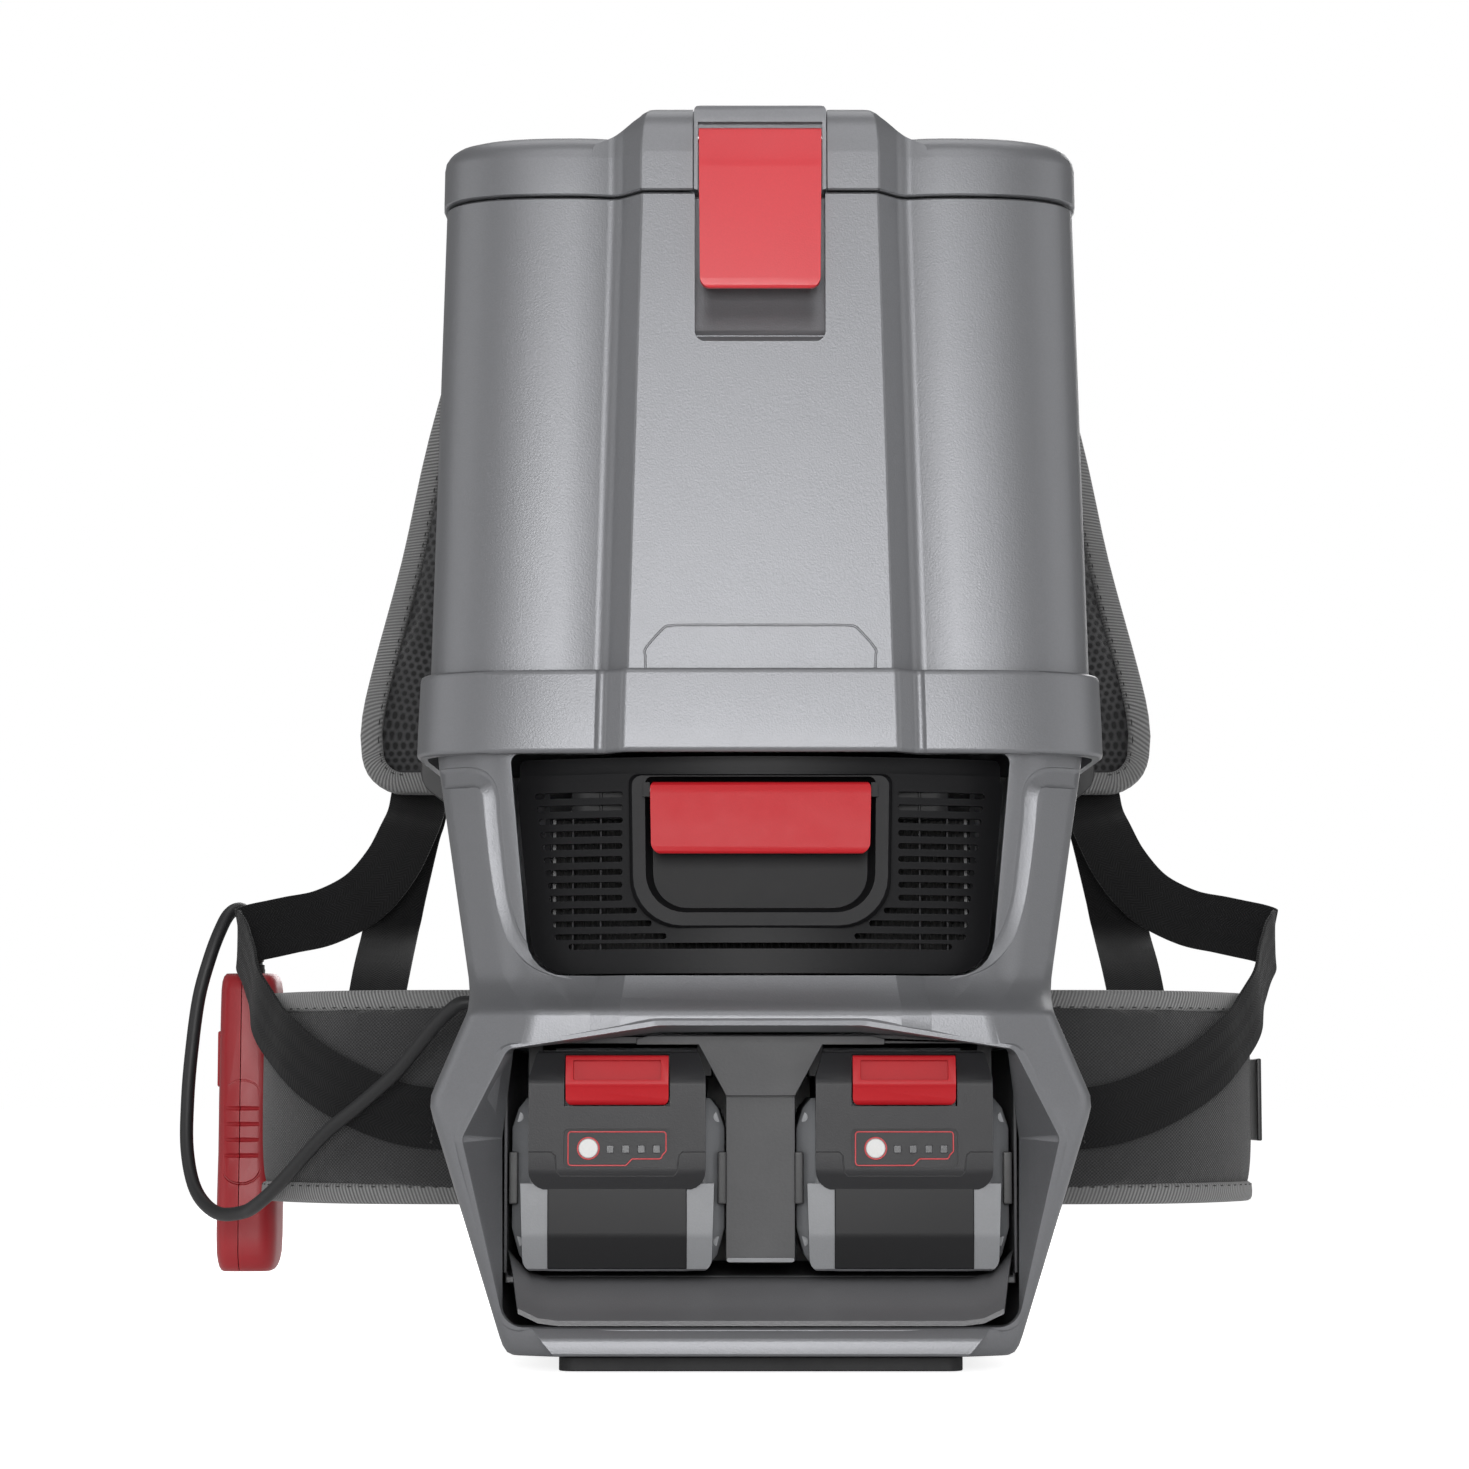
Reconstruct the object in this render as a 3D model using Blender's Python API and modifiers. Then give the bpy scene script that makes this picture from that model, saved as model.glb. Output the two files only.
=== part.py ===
"""Backpack vacuum cleaner, battery powered, with its harness, waist belt and wired remote.

Metres, +Z up. The origin is the centre of the rubber foot's underside. The cover with the two
batteries faces -Y, and the wearer stands at +Y. X is to the right, seen from the -Y side.
"""

import math

import bmesh
import bpy
from mathutils import Matrix, Vector

# ------------------------------------------------------------------ driving dimensions
GAP = 0.0004            # between pieces that touch
WALL = 0.003            # moulded shells
FRONT = -0.118          # the battery bay's front rim
BACK = 0.075            # the flat back of the housing and the canister

FOOT_TOP = 0.006
RIDGE_Z = 0.142         # the edge where the motor housing meets the battery bay
HOUSING_TOP = 0.252
BAND_Z = (0.247, 0.281)
SEAM_Z = 0.479          # between canister and lid
LID_TOP = 0.506
SPINE_TOP = 0.516       # the raised middle of the lid

BATTERY_X = 0.0575       # from the middle of the machine to the middle of a battery
BATTERY_HALF = 0.0432
BATTERY_Y = (-0.100, 0.030)
BATTERY_Z = (0.039, 0.127)

DOOR_PIVOT = (0.0, -0.100, 0.158)
DOOR_TOP = 0.2405
TAB_PIVOT = (0.0, -0.1035, 0.2320)
LATCH_PIVOT = (0.0, -0.1018, 0.5015)
HINGE_PIVOT = (0.0, 0.0815, 0.4770)
PORT_Y = 0.012          # the hose inlet's axis, on the lid's spine
PORT_BORE = 0.0175
MOTOR_Y = 0.005

BELT_Z = (0.060, 0.157)
WEBBING = 0.028
BUCKLE_Y = 0.300
BUCKLE_Z = 0.105
CORD_DIAMETER = 0.0064
SIDES = {"left": -1, "right": 1}

# ------------------------------------------------------------------ colours
GREY = ("grey_plastic", (0.17, 0.175, 0.185), 0.5)
BLACK = ("black_plastic", (0.022, 0.022, 0.023), 0.45)
CHARCOAL = ("charcoal_plastic", (0.06, 0.06, 0.06), 0.6)
RED = ("red_plastic", (0.62, 0.035, 0.05), 0.4)
RUBBER = ("rubber", (0.016, 0.016, 0.017), 0.7)
STEEL = ("steel", (0.55, 0.55, 0.56), 0.3)
BOARD = ("circuit_board", (0.02, 0.12, 0.05), 0.5)
FILTER = ("filter_media", (0.75, 0.75, 0.72), 0.9)
BAG = ("bag_paper", (0.62, 0.56, 0.45), 0.9)
CELLS = ("cell_wrap", (0.08, 0.22, 0.35), 0.5)
MESH = ("mesh_fabric", (0.04, 0.04, 0.04), 0.95)
STRAP = ("webbing", (0.015, 0.015, 0.015), 0.85)


# ------------------------------------------------------------------ scene, materials, objects
def clear_scene():
    for obj in list(bpy.data.objects):
        bpy.data.objects.remove(obj)


def new_collection(name):
    made = bpy.data.collections.new(name)
    bpy.context.scene.collection.children.link(made)
    return made


def material(finish):
    name, colour, roughness = finish
    made = bpy.data.materials.get(name)
    if made is None:
        made = bpy.data.materials.new(name)
        made.use_nodes = True
        shader = made.node_tree.nodes["Principled BSDF"]
        shader.inputs["Base Color"].default_value = (*colour, 1)
        shader.inputs["Roughness"].default_value = roughness
        shader.inputs["Metallic"].default_value = 1.0 if name == "steel" else 0.0
    return made


def add(name, bm, finish=None, origin=(0, 0, 0)):
    """A bmesh as an object: a part with a finish, or a cutter without one."""
    bmesh.ops.recalc_face_normals(bm, faces=bm.faces)
    mesh = bpy.data.meshes.new(name)
    bm.transform(Matrix.Translation(-Vector(origin)))
    bm.to_mesh(mesh)
    bm.free()
    obj = bpy.data.objects.new(name, mesh)
    obj.location = origin
    if finish is None:
        obj.hide_render = True
        obj.display_type = "WIRE"
        CUTTERS.objects.link(obj)
    else:
        mesh.materials.append(material(finish))
        PARTS.objects.link(obj)
    return obj


def boolean(obj, other, operation):
    made = obj.modifiers.new(operation.lower(), "BOOLEAN")
    made.operation = operation
    made.object = other
    return obj


def cut(obj, *cutters):
    for cutter in cutters:
        boolean(obj, cutter, "DIFFERENCE")
    return obj


def join(obj, *others):
    for other in others:
        boolean(obj, other, "UNION")
    return obj


def round_edges(obj, width, segments=1):
    made = obj.modifiers.new("round", "BEVEL")
    made.width = width
    made.segments = segments
    made.limit_method = "ANGLE"
    made.angle_limit = math.radians(40)
    return obj


# ------------------------------------------------------------------ shapes as bmeshes
def box(low, high, bm=None):
    """A box between two corners, added to bm when one is given."""
    bm = bm or bmesh.new()
    made = bmesh.ops.create_cube(bm, size=1.0)["verts"]
    low, high = Vector(low), Vector(high)
    bmesh.ops.scale(bm, vec=high - low, verts=made)
    bmesh.ops.translate(bm, vec=(low + high) / 2, verts=made)
    return bm


AXES = {
    "x": Matrix.Rotation(math.radians(90), 4, "Y"),
    "y": Matrix.Rotation(math.radians(-90), 4, "X"),
    "z": Matrix.Identity(4),
}


def cylinder(centre, radius, length, axis="z", sides=24, top=None, bm=None):
    """A cylinder, or a cone with another top radius, about centre along axis."""
    bm = bm or bmesh.new()
    place = Matrix.Translation(centre) @ AXES[axis]
    bmesh.ops.create_cone(
        bm, cap_ends=True, segments=sides, radius1=radius,
        radius2=radius if top is None else top, depth=length, matrix=place,
    )
    return bm


def ring_of(outline, place):
    return [place(*point) for point in outline]


def prism(outline, low, high, axis="y"):
    """A flat outline between two planes. It is in (x, z) along y, (y, z) along x, (x, y) along z."""
    place = {
        "x": lambda a, b: (low, a, b),
        "y": lambda a, b: (a, low, b),
        "z": lambda a, b: (a, b, low),
    }[axis]
    along = {"x": (1, 0, 0), "y": (0, 1, 0), "z": (0, 0, 1)}[axis]
    bm = bmesh.new()
    face = bm.faces.new([bm.verts.new(p) for p in ring_of(outline, place)])
    moved = bmesh.ops.extrude_face_region(bm, geom=[face], use_keep_orig=True)
    ends = [v for v in moved["geom"] if isinstance(v, bmesh.types.BMVert)]
    bmesh.ops.translate(bm, vec=Vector(along) * (high - low), verts=ends)
    return bm


def loft(rings, closed=False, flat_band=False):
    """A skin through rings of as many points each, capped at both ends unless it is closed on itself.

    A thin flat band is split along the same diagonals on both faces, so that it keeps its thickness.
    """
    bm = bmesh.new()
    rows = [[bm.verts.new(p) for p in ring] for ring in rings]
    pairs = list(zip(rows, rows[1:] + rows[:1])) if closed else list(zip(rows, rows[1:]))
    for row, after in pairs:
        for i in range(len(row)):
            j = (i + 1) % len(row)
            if not flat_band:
                bm.faces.new((row[i], row[j], after[j], after[i]))
            elif i < len(row) // 2:
                bm.faces.new((row[i], row[j], after[j]))
                bm.faces.new((row[i], after[j], after[i]))
            else:
                bm.faces.new((row[i], row[j], after[i]))
                bm.faces.new((row[j], after[j], after[i]))
    if not closed:
        bm.faces.new(rows[0])
        bm.faces.new(rows[-1])
    return bm


def turned(name, profile, centre, finish, steps=32):
    """A piece turned about the vertical through centre. The profile is (radius, z) down its outside."""
    bm = bmesh.new()
    verts = [bm.verts.new((radius, 0, z)) for radius, z in profile]
    for a, b in zip(verts, verts[1:] + verts[:1]):
        bm.edges.new((a, b))
    mesh = bpy.data.meshes.new(name)
    bm.to_mesh(mesh)
    bm.free()
    obj = bpy.data.objects.new(name, mesh)
    obj.location = centre
    mesh.materials.append(material(finish))
    PARTS.objects.link(obj)
    screw = obj.modifiers.new("turn", "SCREW")
    screw.steps = screw.render_steps = steps
    screw.use_merge_vertices = True
    screw.merge_threshold = 0.0001
    return obj


def rounded(corners, steps=3):
    """A closed outline of (x, y, radius) corners, each one an arc of that radius."""
    made = []
    for i, (x, y, radius) in enumerate(corners):
        corner = Vector((x, y))
        before = (Vector(corners[i - 1][:2]) - corner).normalized()
        after = (Vector(corners[(i + 1) % len(corners)][:2]) - corner).normalized()
        half = before.angle(after) / 2
        centre = corner + (before + after).normalized() * (radius / math.sin(half))
        start = corner + before * (radius / math.tan(half)) - centre
        end = corner + after * (radius / math.tan(half)) - centre
        sweep = start.angle_signed(end)
        turns = [Matrix.Rotation(-sweep * k / steps, 2) for k in range(steps + 1)]
        made += [tuple(centre + turn @ start) for turn in turns]
    return made


def mirrored(half):
    """A symmetric outline from the corners of its +X half, listed from front or top round."""
    return half + [(-x, y, radius) for x, y, radius in reversed(half)]


# ------------------------------------------------------------------ the machine's section
# Each station is height, half width, half width of the middle panel, front, and how far the
# side lobes stand back from that panel.
STATIONS = {
    "pod": [
        (0.006, 0.0995, 0.056, -0.1130, 0.0006),
        (0.010, 0.1032, 0.056, -0.1172, 0.0006),
        (0.014, 0.1046, 0.056, FRONT, 0.0006),
        (0.104, 0.1329, 0.056, FRONT, 0.0006),
        (0.109, 0.1327, 0.056, FRONT, 0.0006),
        (RIDGE_Z, 0.1185, 0.056, FRONT, 0.0006),
        (0.1445, 0.1182, 0.056, -0.1150, 0.0010),
        (0.150, 0.1188, 0.055, -0.1075, 0.0030),
        (0.160, 0.1205, 0.054, -0.1020, 0.0050),
        (HOUSING_TOP, 0.1340, 0.054, -0.1040, 0.0070),
    ],
    "canister": [
        (HOUSING_TOP + GAP, 0.1375, 0.0545, -0.1080, 0.010),
        (SEAM_Z - GAP, 0.1318, 0.0485, -0.1030, 0.010),
    ],
}


def section(half_width, panel, front, step, back=BACK, inset=0.0, steps=3):
    """The plan outline: a flat middle panel, lobes that sweep back beside it, round corners."""
    sharp = step < 0.002
    edge = front + inset
    wide = half_width - inset
    corner_y = edge + step + (0.010 if sharp else 0.026)
    middle_x = (panel + wide) / 2 + 0.004
    return rounded(
        mirrored(
            [
                (panel - inset / 2, edge, 0.002),
                (panel + 0.012 - inset / 2, edge + step, 0.004),
                (middle_x, edge + step + (0.0004 if sharp else 0.007), 0.030),
                (wide, corner_y, 0.008 if sharp else 0.022),
                (wide - 0.004, back - inset, 0.018),
            ]
        ),
        steps,
    )


def level(z, *sizes, **more):
    return [(x, y, z) for x, y in section(*sizes, **more)]


def canister_size(z):
    """Half width, panel, front and step of the canister at a height."""
    (low, *first), (high, *last) = STATIONS["canister"]
    share = (z - low) / (high - low)
    return [a + (b - a) * share for a, b in zip(first, last)]


# ------------------------------------------------------------------ lower housing
BAY_RIM = mirrored(
    [(0.040, 0.1362, 0.020), (0.1002, 0.1272, 0.004), (0.1185, 0.092, 0.004), (0.1012, 0.018, 0.009)]
)
BAY_THROAT = mirrored(
    [(0.040, 0.1345, 0.020), (0.0995, 0.1290, 0.003), (0.1040, 0.092, 0.003), (0.1034, 0.0176, 0.006)]
)


def grown(corners, by):
    """Corners of an outline about the bay's middle, moved out by a margin."""
    centre = Vector((0, 0.078))
    made = []
    for x, z, radius in corners:
        away = (Vector((x, z)) - centre).normalized() * by
        made.append((x + away.x, z + away.y, radius + by / 2))
    return made


def pod_size(z):
    """Half width, panel, front and step of the lower housing at a height."""
    rows = STATIONS["pod"]
    for (low, *first), (high, *last) in zip(rows, rows[1:]):
        if z <= high:
            share = max(0.0, (z - low) / (high - low))
            return [a + (b - a) * share for a, b in zip(first, last)]
    return rows[-1][1:]


def front_at(x, z):
    """How far forward the lower housing's skin is at a place on its front."""
    wide, panel, front, step = pod_size(z)
    line = [(0, front), (panel, front), (panel + 0.012, front + step)]
    line += [((panel + wide) / 2 + 0.004, front + step), (wide, front + step + 0.010)]
    for (x1, y1), (x2, y2) in zip(line, line[1:]):
        if abs(x) <= x2:
            return y1 + (y2 - y1) * (abs(x) - x1) / (x2 - x1)
    return line[-1][1]


def bay_frame():
    """The sloping reveal from the rim of the battery bay in to its throat, standing just proud."""
    rim = rounded(BAY_RIM)
    border = rounded(grown(BAY_RIM, 0.0042))
    throat = rounded(BAY_THROAT)
    collar = rounded(grown(BAY_THROAT, 0.0028))
    rings = [
        [(x, front_at(x, z) - 0.0006, z) for x, z in rim],
        [(x, -0.0970, z) for x, z in throat],
        [(x, -0.0970, z) for x, z in collar],
        [(x, front_at(x, z) + 0.0045, z) for x, z in border],
        [(x, front_at(x, z) - 0.0004, z) for x, z in border],
    ]
    return loft(rings, closed=True)


DOOR_OUTLINE = [(0.1010, DOOR_TOP, 0.004), (0.0925, 0.1580, 0.016)]


def main_housing():
    sizes = STATIONS["pod"]
    outer = loft([level(z, *rest) for z, *rest in sizes])
    shell = add("main_housing", outer, GREY)
    inner = loft([level(z if i else z + WALL, *rest, inset=WALL) for i, (z, *rest) in enumerate(sizes[:-1])]
                 + [level(sizes[-1][0] + 0.01, *sizes[-1][1:], inset=WALL)])
    cut(shell, add("housing_inside", inner))
    cut(shell, add("bay_cutter", prism(rounded(grown(BAY_RIM, 0.0022)), FRONT - 0.02, -0.1000)))
    join(shell, add("bay_reveal", bay_frame()))
    opening = mirrored([(x + 0.0008, z + (0.0010 if z > 0.2 else -0.0008), r) for x, z, r in DOOR_OUTLINE])
    cut(shell, add("door_cutter", prism(rounded(opening), -0.13, -0.055)))
    cut(shell, add("rear_cutter", box((-0.085, 0.06, 0.150), (0.085, 0.09, 0.236))))
    nose = [(-0.1222, 0.0068), (-0.1222, 0.0122), (-0.1172, 0.0168), (-0.1145, 0.0150), (-0.1120, 0.0068)]
    join(shell, add("bumper", prism(nose, -0.082, 0.082, "x")))
    cut(shell, add("cord_hole", cylinder((-0.1205, 0.042, 0.150), 0.0052, 0.02, "x", 16)))


def rear_cover():
    cover = add("rear_cover", box((-0.0845, 0.0725, 0.1505), (0.0845, 0.0750, 0.2355)), GREY)
    ribs = bmesh.new()
    for x in (-0.055, 0.0, 0.055):
        box((x - 0.001, 0.0660, 0.160), (x + 0.001, 0.0730, 0.226), ribs)
    join(cover, add("cover_ribs", ribs))


def foot():
    round_edges(add("foot", box((-0.0805, -0.1080, 0.0), (0.0805, 0.0640, FOOT_TOP - GAP)), RUBBER), 0.0015)


def bay_liner():
    """The black tray that the batteries stand over, with its chute to the front lip."""
    tray = add("bay_liner", box((-0.1032, -0.0955, 0.0335), (0.1032, 0.0480, 0.1285)), BLACK)
    cut(tray, add("tray_inside", box((-0.1020, -0.12, 0.0365), (0.1020, 0.0455, 0.14))))
    slope = [(-0.0960, 0.0335), (-0.1155, 0.0180), (-0.1155, 0.0200), (-0.0960, 0.0365)]
    slope += [(-0.0940, 0.0365), (-0.0940, 0.0335)]
    join(tray, add("chute", prism(slope, -0.0930, 0.0930, "x")))


def battery_dock():
    """The dock that hangs in the bay's roof: rails for both batteries and the block between them."""
    dock = add("battery_dock", box((-0.1000, -0.0940, 0.1300), (0.1000, 0.0450, 0.1335)), CHARCOAL)
    join(dock, add("dock_block", box((-0.0135, -0.0915, 0.0420), (0.0135, 0.0420, 0.1310))))
    fascia = [(0.0, 0.1330), (0.045, 0.1330), (0.050, 0.1318), (0.050, 0.1295)]
    fascia += [(0.0250, 0.1295), (0.0134, 0.1090)]
    outline = fascia + [(-x, z) for x, z in reversed(fascia[1:])]
    join(dock, add("dock_fascia", prism(outline, -0.0965, -0.0900)))
    rails = bmesh.new()
    for side in SIDES.values():
        for hand in (-1, 1):
            x = side * BATTERY_X + hand * 0.0345
            box((x - 0.0030, -0.070, 0.1170), (x + 0.0030, 0.0400, 0.1315), rails)
    join(dock, add("dock_rails", rails))


# ------------------------------------------------------------------ motor, filters, electronics
def motor():
    centre = (0.0, MOTOR_Y, 0.0)
    shroud = [(0.020, 0.2350), (0.052, 0.2350), (0.056, 0.2310), (0.056, 0.1950), (0.034, 0.1880)]
    shroud += [(0.034, 0.1860), (0.030, 0.1860), (0.030, 0.1900), (0.053, 0.1970), (0.053, 0.2300)]
    shroud += [(0.050, 0.2325), (0.020, 0.2325)]
    turned("motor_shroud", shroud, centre, BLACK)
    stator = [(0.012, 0.1830), (0.029, 0.1830), (0.029, 0.1440), (0.012, 0.1440)]
    turned("motor_stator", stator, centre, STEEL, 24)
    rotor = [(0.0, 0.2200), (0.004, 0.2200), (0.004, 0.1860), (0.0105, 0.1840), (0.0105, 0.1430)]
    rotor += [(0.004, 0.1420), (0.004, 0.1380), (0.0, 0.1380)]
    turned("motor_rotor", rotor, centre, STEEL, 16)
    impeller = add("impeller", cylinder((0, MOTOR_Y, 0.2040), 0.046, 0.0025, sides=32), CHARCOAL, centre)
    blades = bmesh.new()
    for k in range(9):
        blade = box((0.012, -0.001, 0.2045), (0.045, 0.001, 0.2180))
        turn = Matrix.Rotation(math.radians(25) + k * math.tau / 9, 3, "Z")
        bmesh.ops.rotate(blade, verts=blade.verts, cent=(0, 0, 0), matrix=turn)
        mesh = bpy.data.meshes.new("blade")
        blade.to_mesh(mesh)
        blade.free()
        blades.from_mesh(mesh)
    bmesh.ops.translate(blades, vec=centre, verts=blades.verts)
    hub = add("impeller_hub", cylinder((0, MOTOR_Y, 0.2105), 0.015, 0.015, sides=20))
    join(impeller, add("blades", blades), hub)
    cut(impeller, add("impeller_bore", cylinder((0, MOTOR_Y, 0.2100), 0.0043, 0.04, sides=16)))
    add("control_board", box((-0.075, 0.0640, 0.165), (-0.0565, 0.0656, 0.225)), BOARD)


def filters():
    foam = add("pre_motor_filter", box((-0.078, -0.060, 0.2568), (0.078, 0.058, 0.2690)), CHARCOAL)
    round_edges(foam, 0.006, 2)
    outline = rounded(mirrored([(0.092, -0.074, 0.030), (0.098, 0.062, 0.030)]))
    outside = ((0.2720, 0.84), (0.2850, 0.97), (0.3600, 1.0), (0.4300, 0.97), (0.4600, 0.80), (0.4660, 0.45))
    inside = ((0.2745, 0.80), (0.2865, 0.936), (0.360, 0.965), (0.429, 0.936), (0.4575, 0.757), (0.4635, 0.41))
    outer, inner = [
        loft([[(x * k, y * k, z) for x, y in outline] for z, k in sizes]) for sizes in (outside, inside)
    ]
    bag = add("filter_bag", outer, BAG)
    join(bag, add("bag_collar", box((-0.036, PORT_Y - 0.036, 0.4640), (0.036, PORT_Y + 0.036, 0.4680))))
    cut(bag, add("bag_inside", inner), add("bag_mouth", cylinder((0, PORT_Y, 0.470), PORT_BORE, 0.04)))


# ------------------------------------------------------------------ canister and its collar
def canister():
    low, high = STATIONS["canister"]
    shell = add("canister", loft([level(z, *rest) for z, *rest in (low, high)]), GREY)
    inside = loft([level(z, *canister_size(z), inset=0.0025) for z in (low[0] + 0.0035, SEAM_Z + 0.01)])
    pocket_block = box((-0.0310, -0.1015, 0.4110), (0.0310, -0.0860, SEAM_Z - GAP))
    cut(shell, add("canister_inside", inside))
    join(shell, add("pocket_block", pocket_block))
    pocket = [(-0.120, 0.4160), (-0.1045, 0.4160), (-0.0985, 0.4220), (-0.0915, 0.4450)]
    pocket += [(-0.0915, 0.4930), (-0.120, 0.4930)]
    cut(shell, add("pocket_cutter", prism(pocket, -0.0268, 0.0268, "x")))
    cut(shell, add("suction_hole", cylinder((0, MOTOR_Y, 0.25), 0.040, 0.05, sides=32)))
    for name, side in SIDES.items():
        a, b = sorted((side * 0.0460, side * 0.0600))
        join(shell, add(f"canister_knuckle_{name}", prism(knuckle_outline(0.0730, -1), a, b, "x")))
    cut(shell, add("knuckle_bore", cylinder(HINGE_PIVOT, 0.0024, 0.13, "x", 16)))


def knuckle_outline(wall, down):
    """A round eye about the hinge with a web to the wall, below it or above it, in (y, z)."""
    y, z = HINGE_PIVOT[1:]
    arc = [math.radians(-90 + 22.5 * k) for k in range(9)]
    eye = [(y + 0.0046 * math.cos(t), z + 0.0046 * math.sin(t)) for t in arc]
    if down < 0:
        return eye + [(wall, z + 0.0008), (wall, z - 0.0180)]
    web = [(y + 0.0046, z + 0.0100), (wall, z + 0.0140), (wall, z + 0.0032), (y - 0.0040, z + 0.0030)]
    return [(y - 0.0040, z - 0.0023)] + eye[1:] + web


def collar_band():
    """The deep band that clamps the canister to the motor housing."""
    low, high = BAND_Z
    rows = [(low, 0.0036), (low + 0.002, 0.0044), (high - 0.002, 0.0040), (high, 0.0030)]
    outer = []
    for z, out in rows:
        half, panel, front, step = canister_size(z)
        outer.append(level(z, half + out, panel + out, front - out, step, BACK - GAP))
    ring = add("collar_band", loft(outer), GREY)
    inner = [level(z, *canister_size(z), inset=-GAP) for z in (low - 0.01, high + 0.01)]
    cut(ring, add("band_inside", loft(inner)))


# ------------------------------------------------------------------ lid, latch and hose inlet
def lid_shell():
    half, panel, front, step = canister_size(SEAM_Z)
    rows = [(SEAM_Z + GAP, -0.0013), (0.4950, -0.0010), (0.5015, 0.0015), (0.5045, 0.0050), (LID_TOP, 0.0110)]
    shell = add("lid_shell", loft([level(z, half, panel, front, step, inset=i) for z, i in rows]), GREY)
    spine = [(-0.1030, 0.4820), (-0.1030, 0.5070), (-0.0990, 0.5140), (-0.0940, SPINE_TOP)]
    spine += [(0.0550, SPINE_TOP), (0.0700, 0.5030), (0.0700, 0.4820)]
    middle = prism(spine, -0.0525, 0.0525, "x")
    join(shell, round_edges(add("lid_spine", middle), 0.004))
    inside = loft([level(z, half, panel, front, step, inset=0.0027) for z in (0.4630, 0.5020)])
    spine_inside = box((-0.048, -0.084, 0.4630), (0.048, 0.052, 0.5130))
    cut(shell, add("lid_inside", inside), add("spine_inside", spine_inside))
    cut(shell, add("mount_seat", box((-0.0277, -0.12, 0.4630), (0.0277, -0.0895, 0.5170))))
    join(shell, add("mount_wall", box((-0.0310, -0.0900, SEAM_Z + GAP), (0.0310, -0.0875, 0.5130))))
    join(shell, add("port_collar", cylinder((0, PORT_Y, 0.5180), 0.0275, 0.016, sides=32)))
    cut(shell, add("port_seat", cylinder((0, PORT_Y, 0.5280), 0.0225, 0.0220, sides=32)))
    cut(shell, add("port_bore", cylinder((0, PORT_Y, 0.5030), PORT_BORE, 0.06, sides=32)))
    for name, side in SIDES.items():
        a, b = sorted((side * 0.0200, side * 0.0450))
        join(shell, add(f"lid_knuckle_{name}", prism(knuckle_outline(0.0725, 1), a, b, "x")))
    cut(shell, add("lid_knuckle_bore", cylinder(HINGE_PIVOT, 0.0024, 0.13, "x", 16)))


def lid_small_parts():
    add("hinge_pin", cylinder(HINGE_PIVOT, 0.0020, 0.124, "x", 16), STEEL)
    half, panel, front, step = canister_size(SEAM_Z)
    outer = [level(z, half, panel, front, step, inset=0.0032) for z in (SEAM_Z + 0.0008, SEAM_Z + 0.0045)]
    gasket = add("lid_gasket", loft(outer), RUBBER)
    inner = [level(z, half, panel, front, step, inset=0.0058) for z in (SEAM_Z - 0.01, SEAM_Z + 0.02)]
    cut(gasket, add("gasket_inside", loft(inner)))
    cut(gasket, add("gasket_gap", box((-0.0315, -0.12, 0.4630), (0.0315, -0.0850, 0.5230))))
    swivel = [(PORT_BORE, 0.5380), (0.0245, 0.5380), (0.0255, 0.5370), (0.0255, 0.5266)]
    swivel += [(0.0218, 0.5266), (0.0218, 0.5176), (PORT_BORE, 0.5176)]
    turned("hose_swivel", swivel, (0, PORT_Y, 0), BLACK)


def latch_parts():
    mount = add("latch_mount", box((-0.0272, -0.1034, SEAM_Z + 0.0006), (0.0272, -0.0904, 0.5156)), GREY)
    cut(mount, add("mount_notch", box((-0.0256, -0.12, 0.4630), (0.0256, -0.0988, 0.5080))))
    cut(mount, add("mount_bore", cylinder((0, -0.1018, LATCH_PIVOT[2]), 0.0012, 0.08, "x", 12)))
    pin_y = -0.1018
    add("latch_pin", cylinder((0, pin_y, LATCH_PIVOT[2]), 0.0010, 0.0536, "x", 12), STEEL)
    outline = [(-0.1062, 0.5042), (-0.1042, 0.5046), (-0.0995, 0.5020), (-0.0993, 0.4995), (-0.1030, 0.4965),
               (-0.1062, 0.4890), (-0.1066, 0.4430), (-0.1072, 0.4375), (-0.1105, 0.4370), (-0.1112, 0.4410),
               (-0.1108, 0.4890), (-0.1090, 0.4980)]
    lever = add("lid_latch", prism(outline, -0.0252, 0.0252, "x"), RED, (0, pin_y, LATCH_PIVOT[2]))
    corners = bmesh.new()
    for side in SIDES.values():
        a, b = sorted((side * 0.0222, side * 0.0262))
        box((a, -0.115, 0.4330), (b, -0.10, 0.4400), corners)
    rounds = add("latch_corners", corners)
    round_tips = bmesh.new()
    for side in SIDES.values():
        cylinder((side * 0.0222, -0.1075, 0.4400), 0.0030, 0.02, "y", 20, bm=round_tips)
    boolean(rounds, add("latch_rounds", round_tips), "DIFFERENCE")
    cut(lever, rounds)
    join(lever, add("latch_catch", box((-0.012, -0.1070, 0.4630), (0.012, -0.1000, 0.4660))))
    cut(lever, add("latch_bore", cylinder((0, pin_y, LATCH_PIVOT[2]), 0.0012, 0.08, "x", 12)))


# ------------------------------------------------------------------ filter door
def door_face(x):
    """The door bows back from the middle, as the housing does."""
    return DOOR_PIVOT[1] + 2.2 * x * x


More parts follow.
